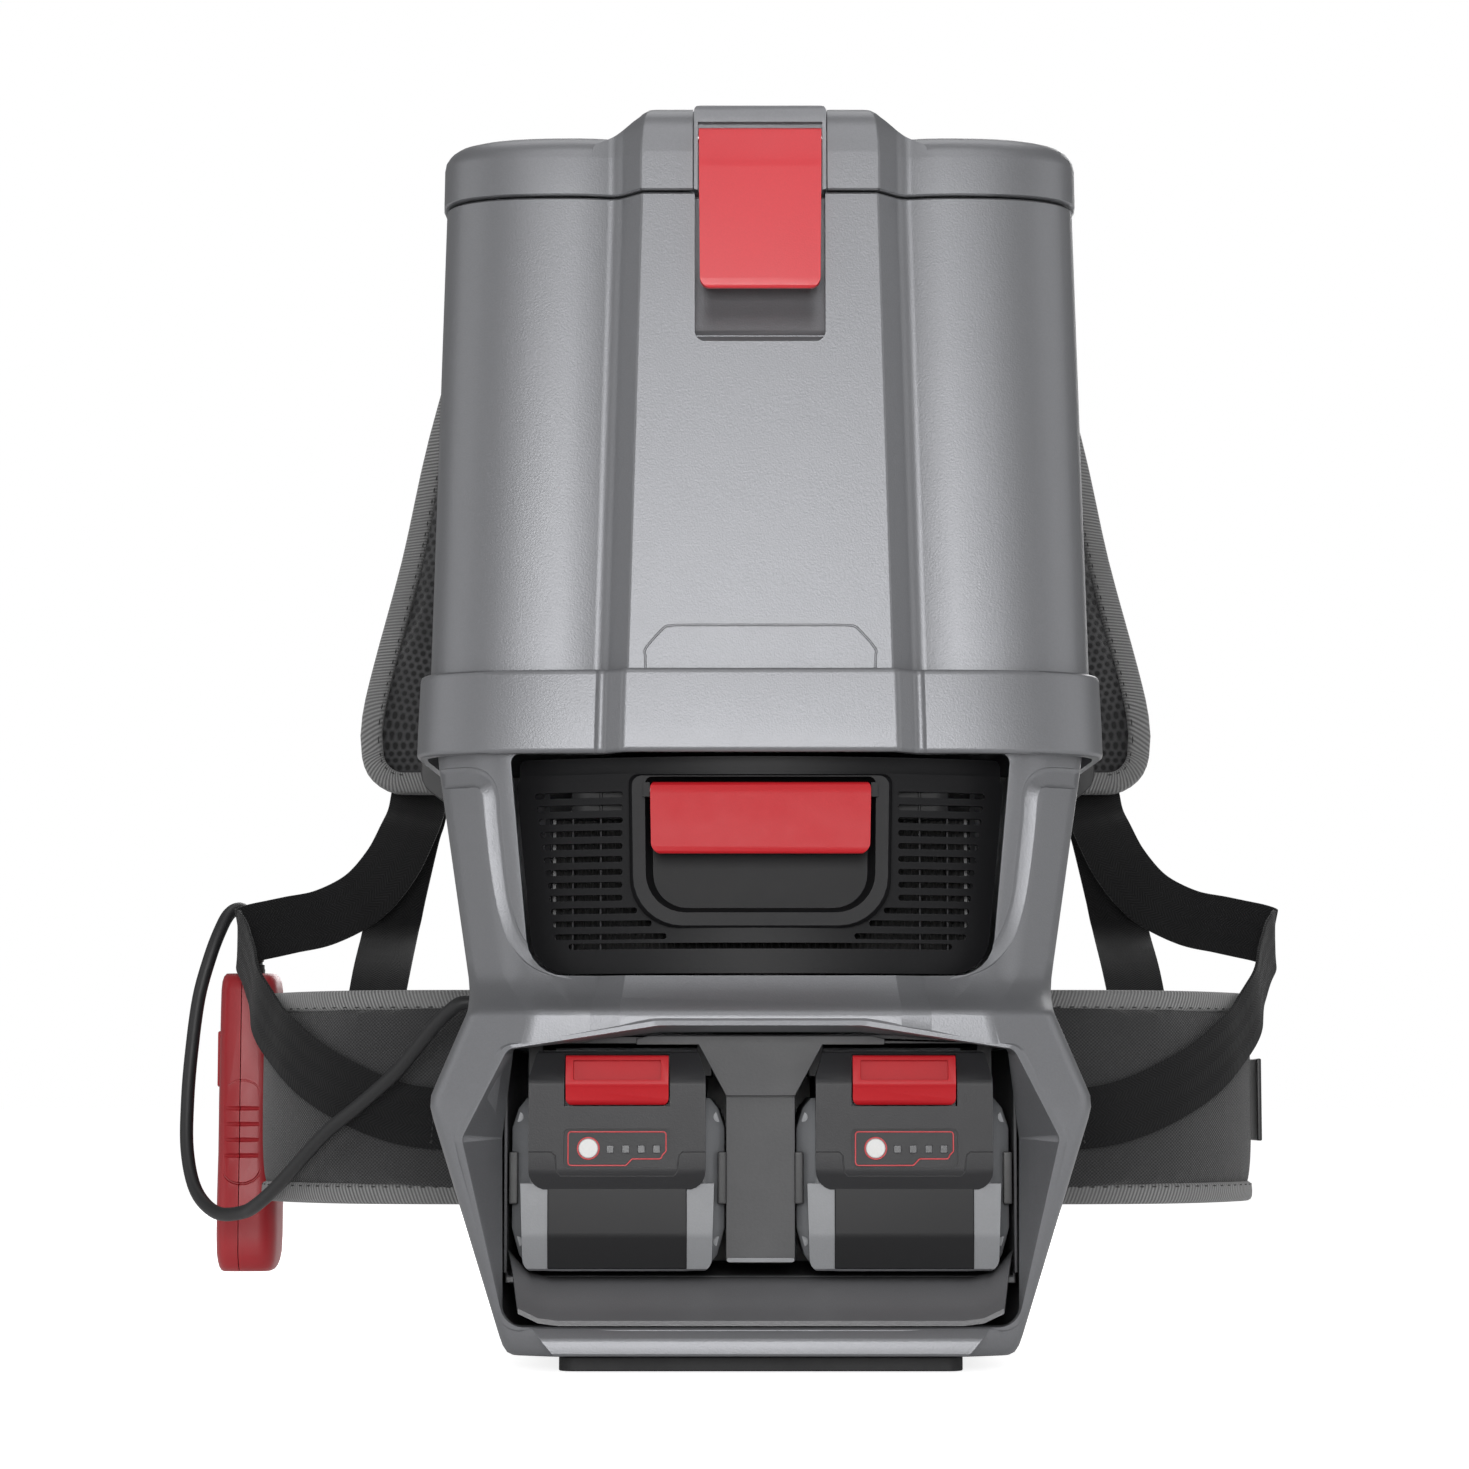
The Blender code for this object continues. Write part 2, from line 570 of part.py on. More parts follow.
def door_plate(low_y, high_y):
    """The door's outline, cut into strips so that it can follow the bow."""
    stations = [(-0.1006, 0.2370), (-0.1000, 0.2395)] + [(x / 1000, 0.2396) for x in range(-90, 91, 15)]
    stations += [(0.1000, 0.2395), (0.1006, 0.2370)]
    rings = []
    for x, top in stations:
        edge = abs(x)
        bottom = DOOR_PIVOT[2]
        if edge > 0.0765:
            round_off = min(1.0, (edge - 0.0765) / 0.016)
            bottom += 0.016 * (1 - math.sqrt(max(0.0, 1 - round_off**2)))
        if edge > 0.0925:
            bottom = 0.174 + (edge - 0.0925) / 0.0085 * 0.060
        reach = 0.0825**2 - (2.2 * x * x + high_y) ** 2
        top = max(min(top, DOOR_PIVOT[2] + math.sqrt(reach)), bottom + 0.001)
        rings.append([(x, door_face(x) + low_y, bottom), (x, door_face(x) + high_y, bottom),
                      (x, door_face(x) + high_y, top), (x, door_face(x) + low_y, top)])
    return loft(rings)


def slot_rows():
    """Height, inner end and outer end of each row of air slots, on the +X side."""
    for k in range(12):
        z = 0.2311 - 0.00526 * k
        outer = 0.0905 - 0.0086 * (0.2311 - z) / 0.06
        inner = 0.0560 if k < 9 else 0.0560 - 0.006 * (k - 8)
        yield z, inner, outer


def filter_door():
    door = add("filter_door", door_plate(0.0, 0.004), BLACK, DOOR_PIVOT)
    slots = bmesh.new()
    for z, inner, outer in slot_rows():
        for side in SIDES.values():
            a, b = sorted((side * inner, side * outer))
            box((a, -0.12, z - 0.0013), (b, -0.06, z + 0.0013), slots)
    cut(door, add("slot_cutter", slots))
    pocket_outer = mirrored([(0.0490, 0.2385, 0.004), (0.0490, 0.1790, 0.018)])
    join(door, add("pocket_shell", prism(rounded(pocket_outer), -0.0985, -0.0860)))
    pocket_inner = mirrored([(0.0468, 0.2372, 0.003), (0.0468, 0.1810, 0.016)])
    cut(door, add("pocket_inner", prism(rounded(pocket_inner), -0.120, -0.0880)))
    ears = bmesh.new()
    for side in SIDES.values():
        a, b = sorted((side * 0.0445, side * 0.0474))
        box((a, -0.1052, 0.2292), (b, -0.0870, 0.2350), ears)
    join(door, add("door_ears", ears))
    cut(door, add("ear_bore", cylinder(TAB_PIVOT, 0.0012, 0.12, "x", 12)))
    flange = add("door_flange", box((-0.0880, -0.0955, 0.1645), (0.0880, -0.0785, 0.2255)))
    cut(flange, add("flange_inside", box((-0.0860, -0.12, 0.1665), (0.0860, -0.05, 0.2235))))
    xs = [x / 1000 for x in range(-100, 101, 20)]
    corners = ((0, 0.15), (1, 0.15), (1, 0.26), (0, 0.26))
    rings = [[(x, door_face(x) + 0.002 if deep else -0.13, z) for deep, z in corners] for x in xs]
    cut(flange, add("flange_front_trim", loft(rings)))
    join(door, flange)


def hepa_cartridge():
    frame = add("hepa_cartridge", box((-0.0855, -0.0782, 0.1660), (0.0855, -0.0560, 0.2240)), FILTER)
    pleats = bmesh.new()
    for k in range(-13, 14):
        groove = [(k * 0.006 - 0.0022, -0.0790), (k * 0.006 + 0.0022, -0.0790), (k * 0.006, -0.0640)]
        wedge = prism(groove, 0.1700, 0.2200, "z")
        mesh = bpy.data.meshes.new("pleat")
        wedge.to_mesh(mesh)
        wedge.free()
        pleats.from_mesh(mesh)
    cut(frame, add("pleat_cutter", pleats))


def pull_tab():
    y, z = TAB_PIVOT[1:]
    outline = [(y - 0.0045, 0.2350), (y + 0.0022, 0.2350), (y + 0.0030, 0.2300), (y - 0.0010, 0.2270)]
    outline += [(y - 0.0022, 0.2100), (y - 0.0022, 0.2064), (y - 0.0068, 0.2060), (y - 0.0074, 0.2090)]
    outline += [(y - 0.0060, 0.2300)]
    tab = add("pull_tab", prism(outline, -0.0440, 0.0440, "x"), RED, TAB_PIVOT)
    cut(tab, add("tab_bore", cylinder(TAB_PIVOT, 0.0012, 0.12, "x", 12)))
    add("tab_pin", cylinder(TAB_PIVOT, 0.0010, 0.0944, "x", 12), STEEL)


# ------------------------------------------------------------------ batteries
def battery_outline(grow=0.0):
    """The lower case seen from the front: straight sides with chamfered wings."""
    low, high = BATTERY_Z[0], 0.1080
    half = BATTERY_HALF + grow
    right = [(half - 0.007, low), (half, low + 0.016), (half, high - 0.014), (half - 0.006, high)]
    return right + [(-x, z) for x, z in reversed(right)]


def cell_outline(radius=0.0103, columns=5, rows=2, arc=6):
    """The outside of two rows of round cells that touch, in (y, z), going once round."""
    pitch = 0.0212
    left = -0.0765
    base = BATTERY_Z[0] + 0.015
    spots = [(left + k * pitch, base) for k in range(columns)]
    spots += [(left + k * pitch, base + pitch * (rows - 1)) for k in reversed(range(columns))]
    turns = [(180, 315)] + [(225, 315)] * (columns - 2) + [(225, 360)]
    turns += [(0, 135)] + [(45, 135)] * (columns - 2) + [(45, 180)]
    made = []
    for (y, z), (start, end) in zip(spots, turns):
        for k in range(arc + 1):
            angle = math.radians(start + (end - start) * k / arc)
            made.append((y + radius * math.cos(angle), z + radius * math.sin(angle)))
    return made


def shifted(bm, x):
    bmesh.ops.translate(bm, vec=(x, 0, 0), verts=bm.verts)
    return bm


def battery(name, x):
    front, back = BATTERY_Y
    low, top = BATTERY_Z
    case = add(f"battery_case_{name}", shifted(prism(battery_outline(), front + 0.002, back), x), GREY)
    hollow = box((x - 0.0405, front + 0.0045, low + 0.0025), (x + 0.0405, back - 0.0025, 0.1200))
    notch = box((x - 0.0215, -0.11, 0.1045), (x + 0.0215, front + 0.0062, 0.1100))
    cut(case, add(f"case_inside_{name}", hollow), add(f"case_notch_{name}", notch))
    add(f"battery_cells_{name}", shifted(prism(cell_outline(), -0.0350, 0.0350, "x"), x), CELLS)
    half = BATTERY_HALF - 0.0010
    base = 0.1084
    right = [(half - 0.006, base), (half, base + 0.0020), (half - 0.0105, top)]
    crown = right + [(-a, b) for a, b in reversed(right)]
    cap = add(f"battery_cap_{name}", shifted(prism(crown, front - 0.001, back - 0.001), x), BLACK)
    apron = mirrored([(half - 0.002, 0.1190, 0.003), (half, 0.0720, 0.008)])
    join(cap, add(f"cap_apron_{name}", shifted(prism(rounded(apron, 2), front - 0.006, front + 0.0016), x)))
    trims = bmesh.new()
    for hand in (-1, 1):
        rail = x + hand * 0.0345
        box((rail - 0.0036, -0.0706, 0.1165), (rail + 0.0036, 0.06, 0.1400), trims)
    box((x - 0.0212, front - 0.020, 0.1048), (x + 0.0212, front + 0.0060, 0.1256), trims)
    cut(cap, add(f"cap_trims_{name}", trims))
    cut(cap, add(f"cap_top_{name}", shifted(box((-0.0600, -0.13, top), (0.0600, 0.06, 0.15)), x)))
    gauge = box((x - 0.0215, front - 0.020, 0.0800), (x + 0.0215, front - 0.0052, 0.0955))
    cut(cap, add(f"gauge_recess_{name}", gauge))
    press = cylinder((x - 0.0115, front - 0.004, 0.0880), 0.0044, 0.0080, "y", 20)
    cut(cap, add(f"button_well_{name}", press))
    battery_latch(name, x)
    knob = cylinder((x - 0.0115, front - 0.0042, 0.0880), 0.0040, 0.0030, "y", 20)
    add(f"gauge_button_{name}", knob, STEEL)


def battery_latch(name, x):
    """The red release: a framed finger cup above a plain face."""
    front = BATTERY_Y[0]
    body = [(front - 0.0052, 0.1053), (front - 0.0075, 0.1125), (front - 0.0085, 0.1130)]
    body += [(front - 0.0058, 0.1250), (front + 0.0012, 0.1252), (front + 0.0012, 0.1053)]
    latch = add(f"battery_latch_{name}", prism(body, x - 0.0206, x + 0.0206, "x"), RED)
    cup = [(front - 0.020, 0.1150), (front - 0.020, 0.1232), (front - 0.003, 0.1232), (front - 0.0045, 0.115)]
    cut(latch, add(f"latch_cup_{name}", prism(cup, x - 0.0175, x + 0.0175, "x")))


# ------------------------------------------------------------------ harness
def strap(stations, width, thickness, across_points=2):
    """A flat band through (centre, width direction, width share) stations, as a closed skin."""
    spread = [2 * k / (across_points - 1) - 1 for k in range(across_points)]
    corners = [(a, -1) for a in spread] + [(-a, 1) for a in spread]
    rings = []
    centres = [Vector(c) for c, _, _ in stations]
    for i, (centre, across, share) in enumerate(stations):
        ahead = centres[min(i + 1, len(centres) - 1)] - centres[max(i - 1, 0)]
        across = Vector(across)
        across = (across - ahead * (across.dot(ahead) / ahead.length_squared)).normalized()
        out = ahead.cross(across).normalized()
        half_w, half_t = width * share / 2, thickness / 2
        rings.append([Vector(centre) + across * (a * half_w) + out * (b * half_t) for a, b in corners])
    return loft(rings, flat_band=True)


def smooth(stations, steps=3):
    """More stations on a smooth curve through the given ones."""
    made = []
    count = len(stations)
    for i in range(count - 1):
        around = [stations[min(max(k, 0), count - 1)] for k in (i - 1, i, i + 1, i + 2)]
        for s in range(steps):
            t = s / steps
            made.append(tuple(blend([a[part] for a in around], t) for part in range(3)))
    return made + [stations[-1]]


def blend(values, t):
    """Catmull-Rom between the second and third of four numbers or points."""
    if isinstance(values[0], (int, float)):
        a, b, c, d = values
        bend = (2 * a - 5 * b + 4 * c - d) * t**2
        return 0.5 * (2 * b + (c - a) * t + bend + (3 * b - a - 3 * c + d) * t**3)
    return tuple(blend(list(parts), t) for parts in zip(*values))


def to_side(stations, side):
    """Stations drawn for the right side, for either side."""
    return [((side * c[0], c[1], c[2]), (side * w[0], w[1], w[2]), share) for c, w, share in stations]


SHOULDER = [
    ((0.060, 0.1090, 0.395), (1, 0, 0), 0.80), ((0.062, 0.124, 0.440), (1, 0, 0), 0.90),
    ((0.072, 0.152, 0.482), (1, 0.1, 0), 1.0), ((0.0910, 0.195, 0.500), (1, 0.2, 0), 1.0),
    ((0.1110, 0.233, 0.482), (1, 0.3, -0.1), 1.0), ((0.1285, 0.250, 0.430), (1, 0.2, 0.2), 1.0),
    ((0.1410, 0.254, 0.370), (1, 0.1, 0.2), 1.0), ((0.1555, 0.253, 0.312), (1, 0, 0.2), 1.0),
    ((0.1610, 0.252, 0.290), (1, 0, 0.15), 0.97), ((0.1615, 0.2518, 0.277), (1, 0, 0.1), 0.91),
    ((0.1615, 0.2515, 0.266), (1, 0, 0.05), 0.70), ((0.1615, 0.251, 0.259), (1, 0, 0), 0.32),
]
TENSION = [
    ((0.1165, 0.0846, 0.0975), (0, 0, 1), 1), ((0.1510, 0.0862, 0.0992), (0, 0, 1), 1),
    ((0.1710, 0.0902, 0.1040), (0, 0, 1), 1), ((0.1900, 0.0975, 0.1125), (0, 0, 1), 1),
    ((0.2045, 0.1072, 0.1210), (0, 0, 1), 1), ((0.2165, 0.1185, 0.1310), (0, 0, 1), 1),
    ((0.2255, 0.1310, 0.1400), (0, 0, 1), 1), ((0.2340, 0.1445, 0.1530), (0, 0, 1), 1),
    ((0.2390, 0.1600, 0.1660), (0, 0, 1), 1), ((0.2440, 0.1750, 0.1760), (0, 0, 1), 1),
    ((0.2485, 0.1870, 0.1830), (0, 0, 1), 1), ((0.2490, 0.1940, 0.1850), (0, 0, 1), 1),
    ((0.2435, 0.1990, 0.1875), (0.05, 0, 1), 1), ((0.2340, 0.2050, 0.1900), (0.1, 0, 1), 1),
    ((0.2260, 0.2115, 0.1922), (0.2, 0, 1), 1), ((0.2128, 0.2230, 0.1958), (0.3, 0, 1), 1),
    ((0.1980, 0.2260, 0.2030), (0.6, 0, 0.8), 1), ((0.1880, 0.2250, 0.2110), (0.8, 0, 0.6), 1),
    ((0.1785, 0.2270, 0.2240), (0.95, 0, 0.4), 1), ((0.1725, 0.2380, 0.2390), (1, 0, 0.3), 1),
    ((0.1700, 0.2520, 0.2490), (1, 0, 0.2), 1), ((0.1692, 0.2622, 0.2590), (1, 0, 0.2), 1),
    ((0.1675, 0.2640, 0.2710), (1, 0, 0.2), 1), ((0.1660, 0.2640, 0.2830), (1, 0, 0.2), 1),
]
LOWER = [
    ((0.1660, 0.2670, 0.2900), (1, 0, 0.2), 1), ((0.1675, 0.2672, 0.2660), (1, 0, 0.15), 1),
    ((0.1700, 0.2674, 0.2490), (1, 0, 0.1), 1),
    ((0.1728, 0.2610, 0.2370), (1, 0, 0.1), 1), ((0.1780, 0.2440, 0.2060), (1, 0, 0), 1),
    ((0.1807, 0.2340, 0.1880), (1, 0, 0), 1),
    ((0.1797, 0.1750, 0.1640), (1, 0.1, 0), 1),
    ((0.1830, 0.1330, 0.1180), (1, 0.42, 0), 1), ((0.1830, 0.1225, 0.1000), (1, 0.52, 0), 1),
    ((0.1830, 0.1200, 0.0820), (1, 0.55, 0), 1),
]
WING = [
    (0.118, 0.0935), (0.150, 0.0955), (0.184, 0.1045), (0.207, 0.1220), (0.2235, 0.1450), (0.2272, 0.1640),
    (0.2190, 0.1860), (0.2090, 0.2080), (0.1985, 0.2300),
]
WING_THICK = 0.014
WAIST = [
    (0.2108, 0.2240), (0.2030, 0.2420), (0.1930, 0.2580), (0.1750, 0.2740), (0.1400, 0.2890),
    (0.1000, 0.2985), (0.0780, 0.3000), (0.0300, 0.3000),
]


def upright(points, z):
    return [((x, y, z), (0, 0, 1), 1) for x, y in points]


def harness():
    plate = [(0.136, 0.4400, 0.030), (0.144, 0.3000, 0.010), (0.1525, 0.2760, 0.008), (0.1525, 0.2490, 0.010)]
    plate += [(0.1130, 0.2200, 0.015), (0.1130, 0.0400, 0.020)]
    add("back_plate", prism(rounded(mirrored(plate)), BACK + 0.0008, BACK + 0.0078), BLACK)
    pad = [(0.128, 0.4250, 0.030), (0.128, 0.2560, 0.030), (0.088, 0.2200, 0.020), (0.088, 0.0500, 0.025)]
    round_edges(add("back_pad", prism(rounded(mirrored(pad)), BACK + 0.0084, 0.1010), MESH), 0.005)
    for name, side in SIDES.items():
        add(f"shoulder_pad_{name}", strap(smooth(to_side(SHOULDER, side), 2), 0.076, 0.0125, 4), MESH)
        add(f"tension_strap_{name}", strap(smooth(to_side(TENSION, side), 2), WEBBING, 0.0016), STRAP)
        add(f"lower_strap_{name}", strap(smooth(to_side(LOWER, side), 2), WEBBING, 0.0016), STRAP)
        wing = to_side(upright(WING, sum(BELT_Z) / 2), side)
        add(f"hip_pad_{name}", strap(smooth(wing, 2), BELT_Z[1] - BELT_Z[0], WING_THICK), MESH)
        adjuster(name, side)
    clips()


def adjuster(name, side):
    """The ladder lock on the outside of a shoulder pad's lower end."""
    x = side * 0.1640
    body = box((x - 0.0180, 0.2598, 0.2860), (x + 0.0180, 0.2630, 0.3120))
    body = round_edges(add(f"strap_adjuster_{name}", body, BLACK), 0.001)
    for row, z in enumerate((0.2890, 0.3010)):
        slot = box((x - 0.0148, 0.25, z), (x + 0.0148, 0.27, z + 0.0070))
        cut(body, add(f"adjuster_slot_{name}_{row}", slot))


def clips():
    """The wedge that the remote hooks on to, and the bare clip plate on the other hip."""
    wedge = [(-0.2229, 0.1950), (-0.2290, 0.1950), (-0.2290, 0.2180), (-0.2126, 0.2180)]
    add("remote_clip", prism(wedge, 0.0870, 0.1270, "z"), BLACK)
    add("belt_clip", box((0.2350, 0.1530, 0.0880), (0.2372, 0.1860, 0.1265)), BLACK)


def waist_belt():
    left = to_side(upright(WAIST, BUCKLE_Z), -1)
    right = to_side(upright(WAIST, BUCKLE_Z), 1)
    add("waist_webbing_right", strap(smooth(right, 2), WEBBING, 0.0016), STRAP)
    left[-1] = ((-0.0180, BUCKLE_Y, BUCKLE_Z), (0, 0, 1), 1)
    add("waist_webbing_left", strap(smooth(left, 2), WEBBING, 0.0016), STRAP)
    y, z = BUCKLE_Y, BUCKLE_Z
    socket = box((-0.0140, y - 0.0065, z - 0.0230), (0.0290, y + 0.0065, z + 0.0230))
    socket = round_edges(add("buckle_socket", socket, BLACK), 0.003, 2)
    cut(socket, add("socket_mouth", box((-0.02, y - 0.0045, z - 0.0190), (0.0150, y + 0.0045, z + 0.0190))))
    windows = bmesh.new()
    for hand in (-1, 1):
        a, b = sorted((z + hand * 0.0150, z + hand * 0.0300))
        box((-0.0080, y - 0.0045, a), (0.0080, y + 0.0045, b), windows)
    cut(socket, add("socket_windows", windows))
    plug = box((-0.0420, y - 0.0060, z - 0.0215), (-0.0146, y + 0.0060, z + 0.0215))
    plug = round_edges(add("buckle_plug", plug, BLACK), 0.002)
    tongue = bmesh.new()
    for hand in (-1, 1):
        a, b = sorted((z + hand * 0.0130, z + hand * 0.0180))
        box((-0.0160, y - 0.0036, a), (0.0060, y + 0.0036, b), tongue)
    join(plug, add("plug_arms", tongue))
    cut(plug, add("plug_slot", box((-0.06, y - 0.0016, z - 0.0155), (0.01, y + 0.0016, z + 0.0155))))


# ------------------------------------------------------------------ wired remote
REMOTE_AT = Vector((-0.2481, 0.2120, 0.0))
CORD = [
    (-0.1246, 0.0420, 0.1500), (-0.1275, 0.0420, 0.1500), (-0.1330, 0.0424, 0.1487),
    (-0.1420, 0.0470, 0.1410), (-0.1510, 0.0550, 0.1310), (-0.1623, 0.0660, 0.1188),
    (-0.1790, 0.0790, 0.1050), (-0.1964, 0.0900, 0.0914), (-0.2176, 0.1130, 0.0703),
    (-0.2300, 0.1290, 0.0600), (-0.2396, 0.1420, 0.0550), (-0.2535, 0.1550, 0.0545),
    (-0.2650, 0.1680, 0.0643), (-0.2708, 0.1770, 0.0832), (-0.2718, 0.1830, 0.1072),
    (-0.2705, 0.1855, 0.1310), (-0.2675, 0.1860, 0.1560), (-0.2627, 0.1872, 0.1750),
    (-0.2585, 0.1905, 0.1880), (-0.2548, 0.1962, 0.1966), (-0.2505, 0.2032, 0.1993),
    (-0.2470, 0.2094, 0.1960), (-0.2455, 0.2122, 0.1890), (-0.2454, 0.2125, 0.1852),
]


def place_remote(bm):
    bmesh.ops.translate(bm, vec=REMOTE_AT, verts=bm.verts)
    return bm


def remote_half(inner):
    """Half of the remote's case: its outline narrows at the ends and swells at the grip."""
    rows = [(0.0250, 0.62), (0.0275, 0.82), (0.0340, 0.98), (0.0600, 1.0), (0.0820, 0.95), (0.1080, 0.95),
            (0.1300, 0.93), (0.1600, 0.90), (0.1655, 0.80), (0.1680, 0.60)]
    side = 1 if inner else -1
    deep = 0.0180 if inner else 0.0118
    rings = []
    for z, share in rows:
        half_width = 0.0205 * share
        out = side * deep * (0.45 + 0.55 * share)
        seam = side * 0.0002
        ring = [(seam, -half_width), (seam, half_width), (out * 0.72, half_width), (out, half_width * 0.72)]
        ring += [(out, -half_width * 0.72), (out * 0.72, -half_width)]
        rings.append([(x, y, z) for x, y in ring])
    return place_remote(loft(rings))


def remote():
    outer = add("remote_case_outer", remote_half(False), RED)
    add("remote_case_inner", remote_half(True), RED)
    well = place_remote(box((-0.020, -0.0105, 0.1128), (-0.0074, 0.0105, 0.1407)))
    cut(outer, add("button_well", well))
    button = place_remote(box((-0.0128, -0.0100, 0.1133), (-0.0094, 0.0100, 0.1402)))
    round_edges(add("remote_button", button, CHARCOAL), 0.001)
    add("cord_boot", cylinder((-0.2454, 0.2125, 0.1765), 0.0060, 0.0164, sides=16, top=0.0042), RUBBER)
    add("cord_grommet", cylinder((-0.1184, 0.042, 0.150), 0.0048, 0.0116, "x", 16), RUBBER)


def cord():
    curve = bpy.data.curves.new("remote_cord", "CURVE")
    curve.dimensions = "3D"
    curve.bevel_depth = CORD_DIAMETER / 2
    curve.bevel_resolution = 2
    curve.use_fill_caps = True
    route = [(point, (0, 0, 0), 0) for point in CORD]
    points = [centre for centre, _, _ in smooth(route, 3)]
    line = curve.splines.new("POLY")
    line.points.add(len(points) - 1)
    for spot, point in zip(line.points, points):
        spot.co = (*point, 1)
    obj = bpy.data.objects.new("remote_cord", curve)
    curve.materials.append(material(RUBBER))
    PARTS.objects.link(obj)


clear_scene()
PARTS = new_collection("backpack_vacuum")
CUTTERS = new_collection("cutters")
main_housing()
rear_cover()
foot()
bay_liner()
battery_dock()
motor()
filters()
canister()
collar_band()
lid_shell()
lid_small_parts()
latch_parts()
filter_door()
hepa_cartridge()
pull_tab()
for side_name, hand in SIDES.items():
    battery(side_name, hand * BATTERY_X)
harness()
waist_belt()
remote()
cord()
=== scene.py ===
import math

import bmesh
import bpy
import numpy as np
from mathutils import Matrix, Vector


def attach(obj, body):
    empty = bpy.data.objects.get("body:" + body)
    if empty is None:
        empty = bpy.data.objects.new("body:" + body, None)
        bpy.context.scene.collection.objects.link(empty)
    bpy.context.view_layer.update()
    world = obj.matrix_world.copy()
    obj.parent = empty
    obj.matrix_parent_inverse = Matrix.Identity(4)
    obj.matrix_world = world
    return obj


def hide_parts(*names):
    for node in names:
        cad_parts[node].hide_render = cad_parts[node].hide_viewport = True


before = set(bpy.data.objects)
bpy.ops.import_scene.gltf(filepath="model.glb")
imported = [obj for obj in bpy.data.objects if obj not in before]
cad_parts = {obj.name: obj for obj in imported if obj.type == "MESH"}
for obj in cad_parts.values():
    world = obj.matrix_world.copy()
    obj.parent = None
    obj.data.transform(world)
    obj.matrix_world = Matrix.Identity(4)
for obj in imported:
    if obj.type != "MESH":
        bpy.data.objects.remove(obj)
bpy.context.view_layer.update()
SIDES = {"left": -1, "right": 1}
NORMAL_WEIGHT = 60
WHITE = (1, 1, 1, 1)


# ------------------------------------------------------------------ camera
def make_camera():
    data = bpy.data.cameras.new("camera")
    data.sensor_width = 36
    data.lens = 91.0
    camera = bpy.data.objects.new("camera", data)
    camera.location = (-0.0105, -1.6, 0.1086)
    camera.rotation_euler = (math.radians(95.57), 0, 0)
    bpy.context.scene.collection.objects.link(camera)
    bpy.context.scene.camera = camera


# ------------------------------------------------------------------ curves and outlines
def catmull(around, t):
    """A number or a point between the second and third of four."""
    if isinstance(around[0], (int, float)):
        a, b, c, d = around
        bend = (2 * a - 5 * b + 4 * c - d) * t**2
        return 0.5 * (2 * b + (c - a) * t + bend + (3 * b - a - 3 * c + d) * t**3)
    return tuple(catmull(parts, t) for parts in zip(*around))


def smooth(stations, steps):
    """More stations on a smooth curve through the given ones."""
    made = []
    last = len(stations) - 1
    for i in range(last):
        around = [stations[min(max(k, 0), last)] for k in (i - 1, i, i + 1, i + 2)]
        made += [catmull(around, s / steps) for s in range(steps)]
    return made + [stations[-1]]


def rounded(corners, steps=6):
    """A closed outline of (x, y, radius) corners, each one an arc of that radius."""
    made = []
    for i, (x, y, radius) in enumerate(corners):
        if not radius:
            made.append((x, y))
            continue
        corner = Vector((x, y))
        before = (Vector(corners[i - 1][:2]) - corner).normalized()
        after = (Vector(corners[(i + 1) % len(corners)][:2]) - corner).normalized()
        half = before.angle(after) / 2
        centre = corner + (before + after).normalized() * (radius / math.sin(half))
        start = corner + before * (radius / math.tan(half)) - centre
        end = corner + after * (radius / math.tan(half)) - centre
        sweep = start.angle_signed(end)
        for k in range(steps + 1):
            made.append(tuple(centre + Matrix.Rotation(-sweep * k / steps, 2) @ start))
    return made


def mirrored(half):
    """A symmetric outline from the corners of its +X half."""
    return half + [(-x, *rest) for x, *rest in reversed(half)]


def symmetric(half, steps=6):
    """A symmetric outline with round corners, from its +X half."""
    return rounded(mirrored(half), steps)


def turns(sides):
    """The angles of a ring's points."""
    return [math.tau * k / sides for k in range(sides)]


def squared(turn, first, second):
    """A point on a squared-off circle, fuller in each direction as its power falls."""
    a, b = math.cos(turn), math.sin(turn)
    return math.copysign(abs(a) ** first, a), math.copysign(abs(b) ** second, b)


def heading(points, i, closed=False):
    """The way a line of points runs at one of them."""
    if closed:
        return points[(i + 1) % len(points)] - points[i - 1]
    return points[min(i + 1, len(points) - 1)] - points[max(i - 1, 0)]


# ------------------------------------------------------------------ meshes
def box(low, high):
    bm = bmesh.new()
    made = bmesh.ops.create_cube(bm, size=1.0)["verts"]
    low, high = Vector(low), Vector(high)
    bmesh.ops.scale(bm, vec=high - low, verts=made)
    bmesh.ops.translate(bm, vec=(low + high) / 2, verts=made)
    return bm


def box_pair(x, half, y, z):
    """The same box on both sides of the middle, half as wide as half says each way."""
    return [box((side * x - half, y[0], z[0]), (side * x + half, y[1], z[1])) for side in (-1, 1)]


TURNS = {
    "x": Matrix.Rotation(math.radians(90), 4, "Y"),
    "y": Matrix.Rotation(math.radians(-90), 4, "X"),
    "z": Matrix.Identity(4),
}
PLACES = {
    "x": lambda a, b, d: (d, a, b),
    "y": lambda a, b, d: (a, d, b),
    "z": lambda a, b, d: (a, b, d),
}


def cylinder(centre, radius, length, axis="z", sides=40):
    bm = bmesh.new()
    bmesh.ops.create_cone(
        bm, cap_ends=True, segments=sides, radius1=radius, radius2=radius, depth=length,
        matrix=Matrix.Translation(centre) @ TURNS[axis],
    )
    return bm


def prism(outline, low, high, axis="y"):
    """A flat outline between two planes. It is in (x, z) along y, (y, z) along x, (x, y) along z."""
    return loft([[PLACES[axis](*point[:2], d) for point in outline] for d in (low, high)])


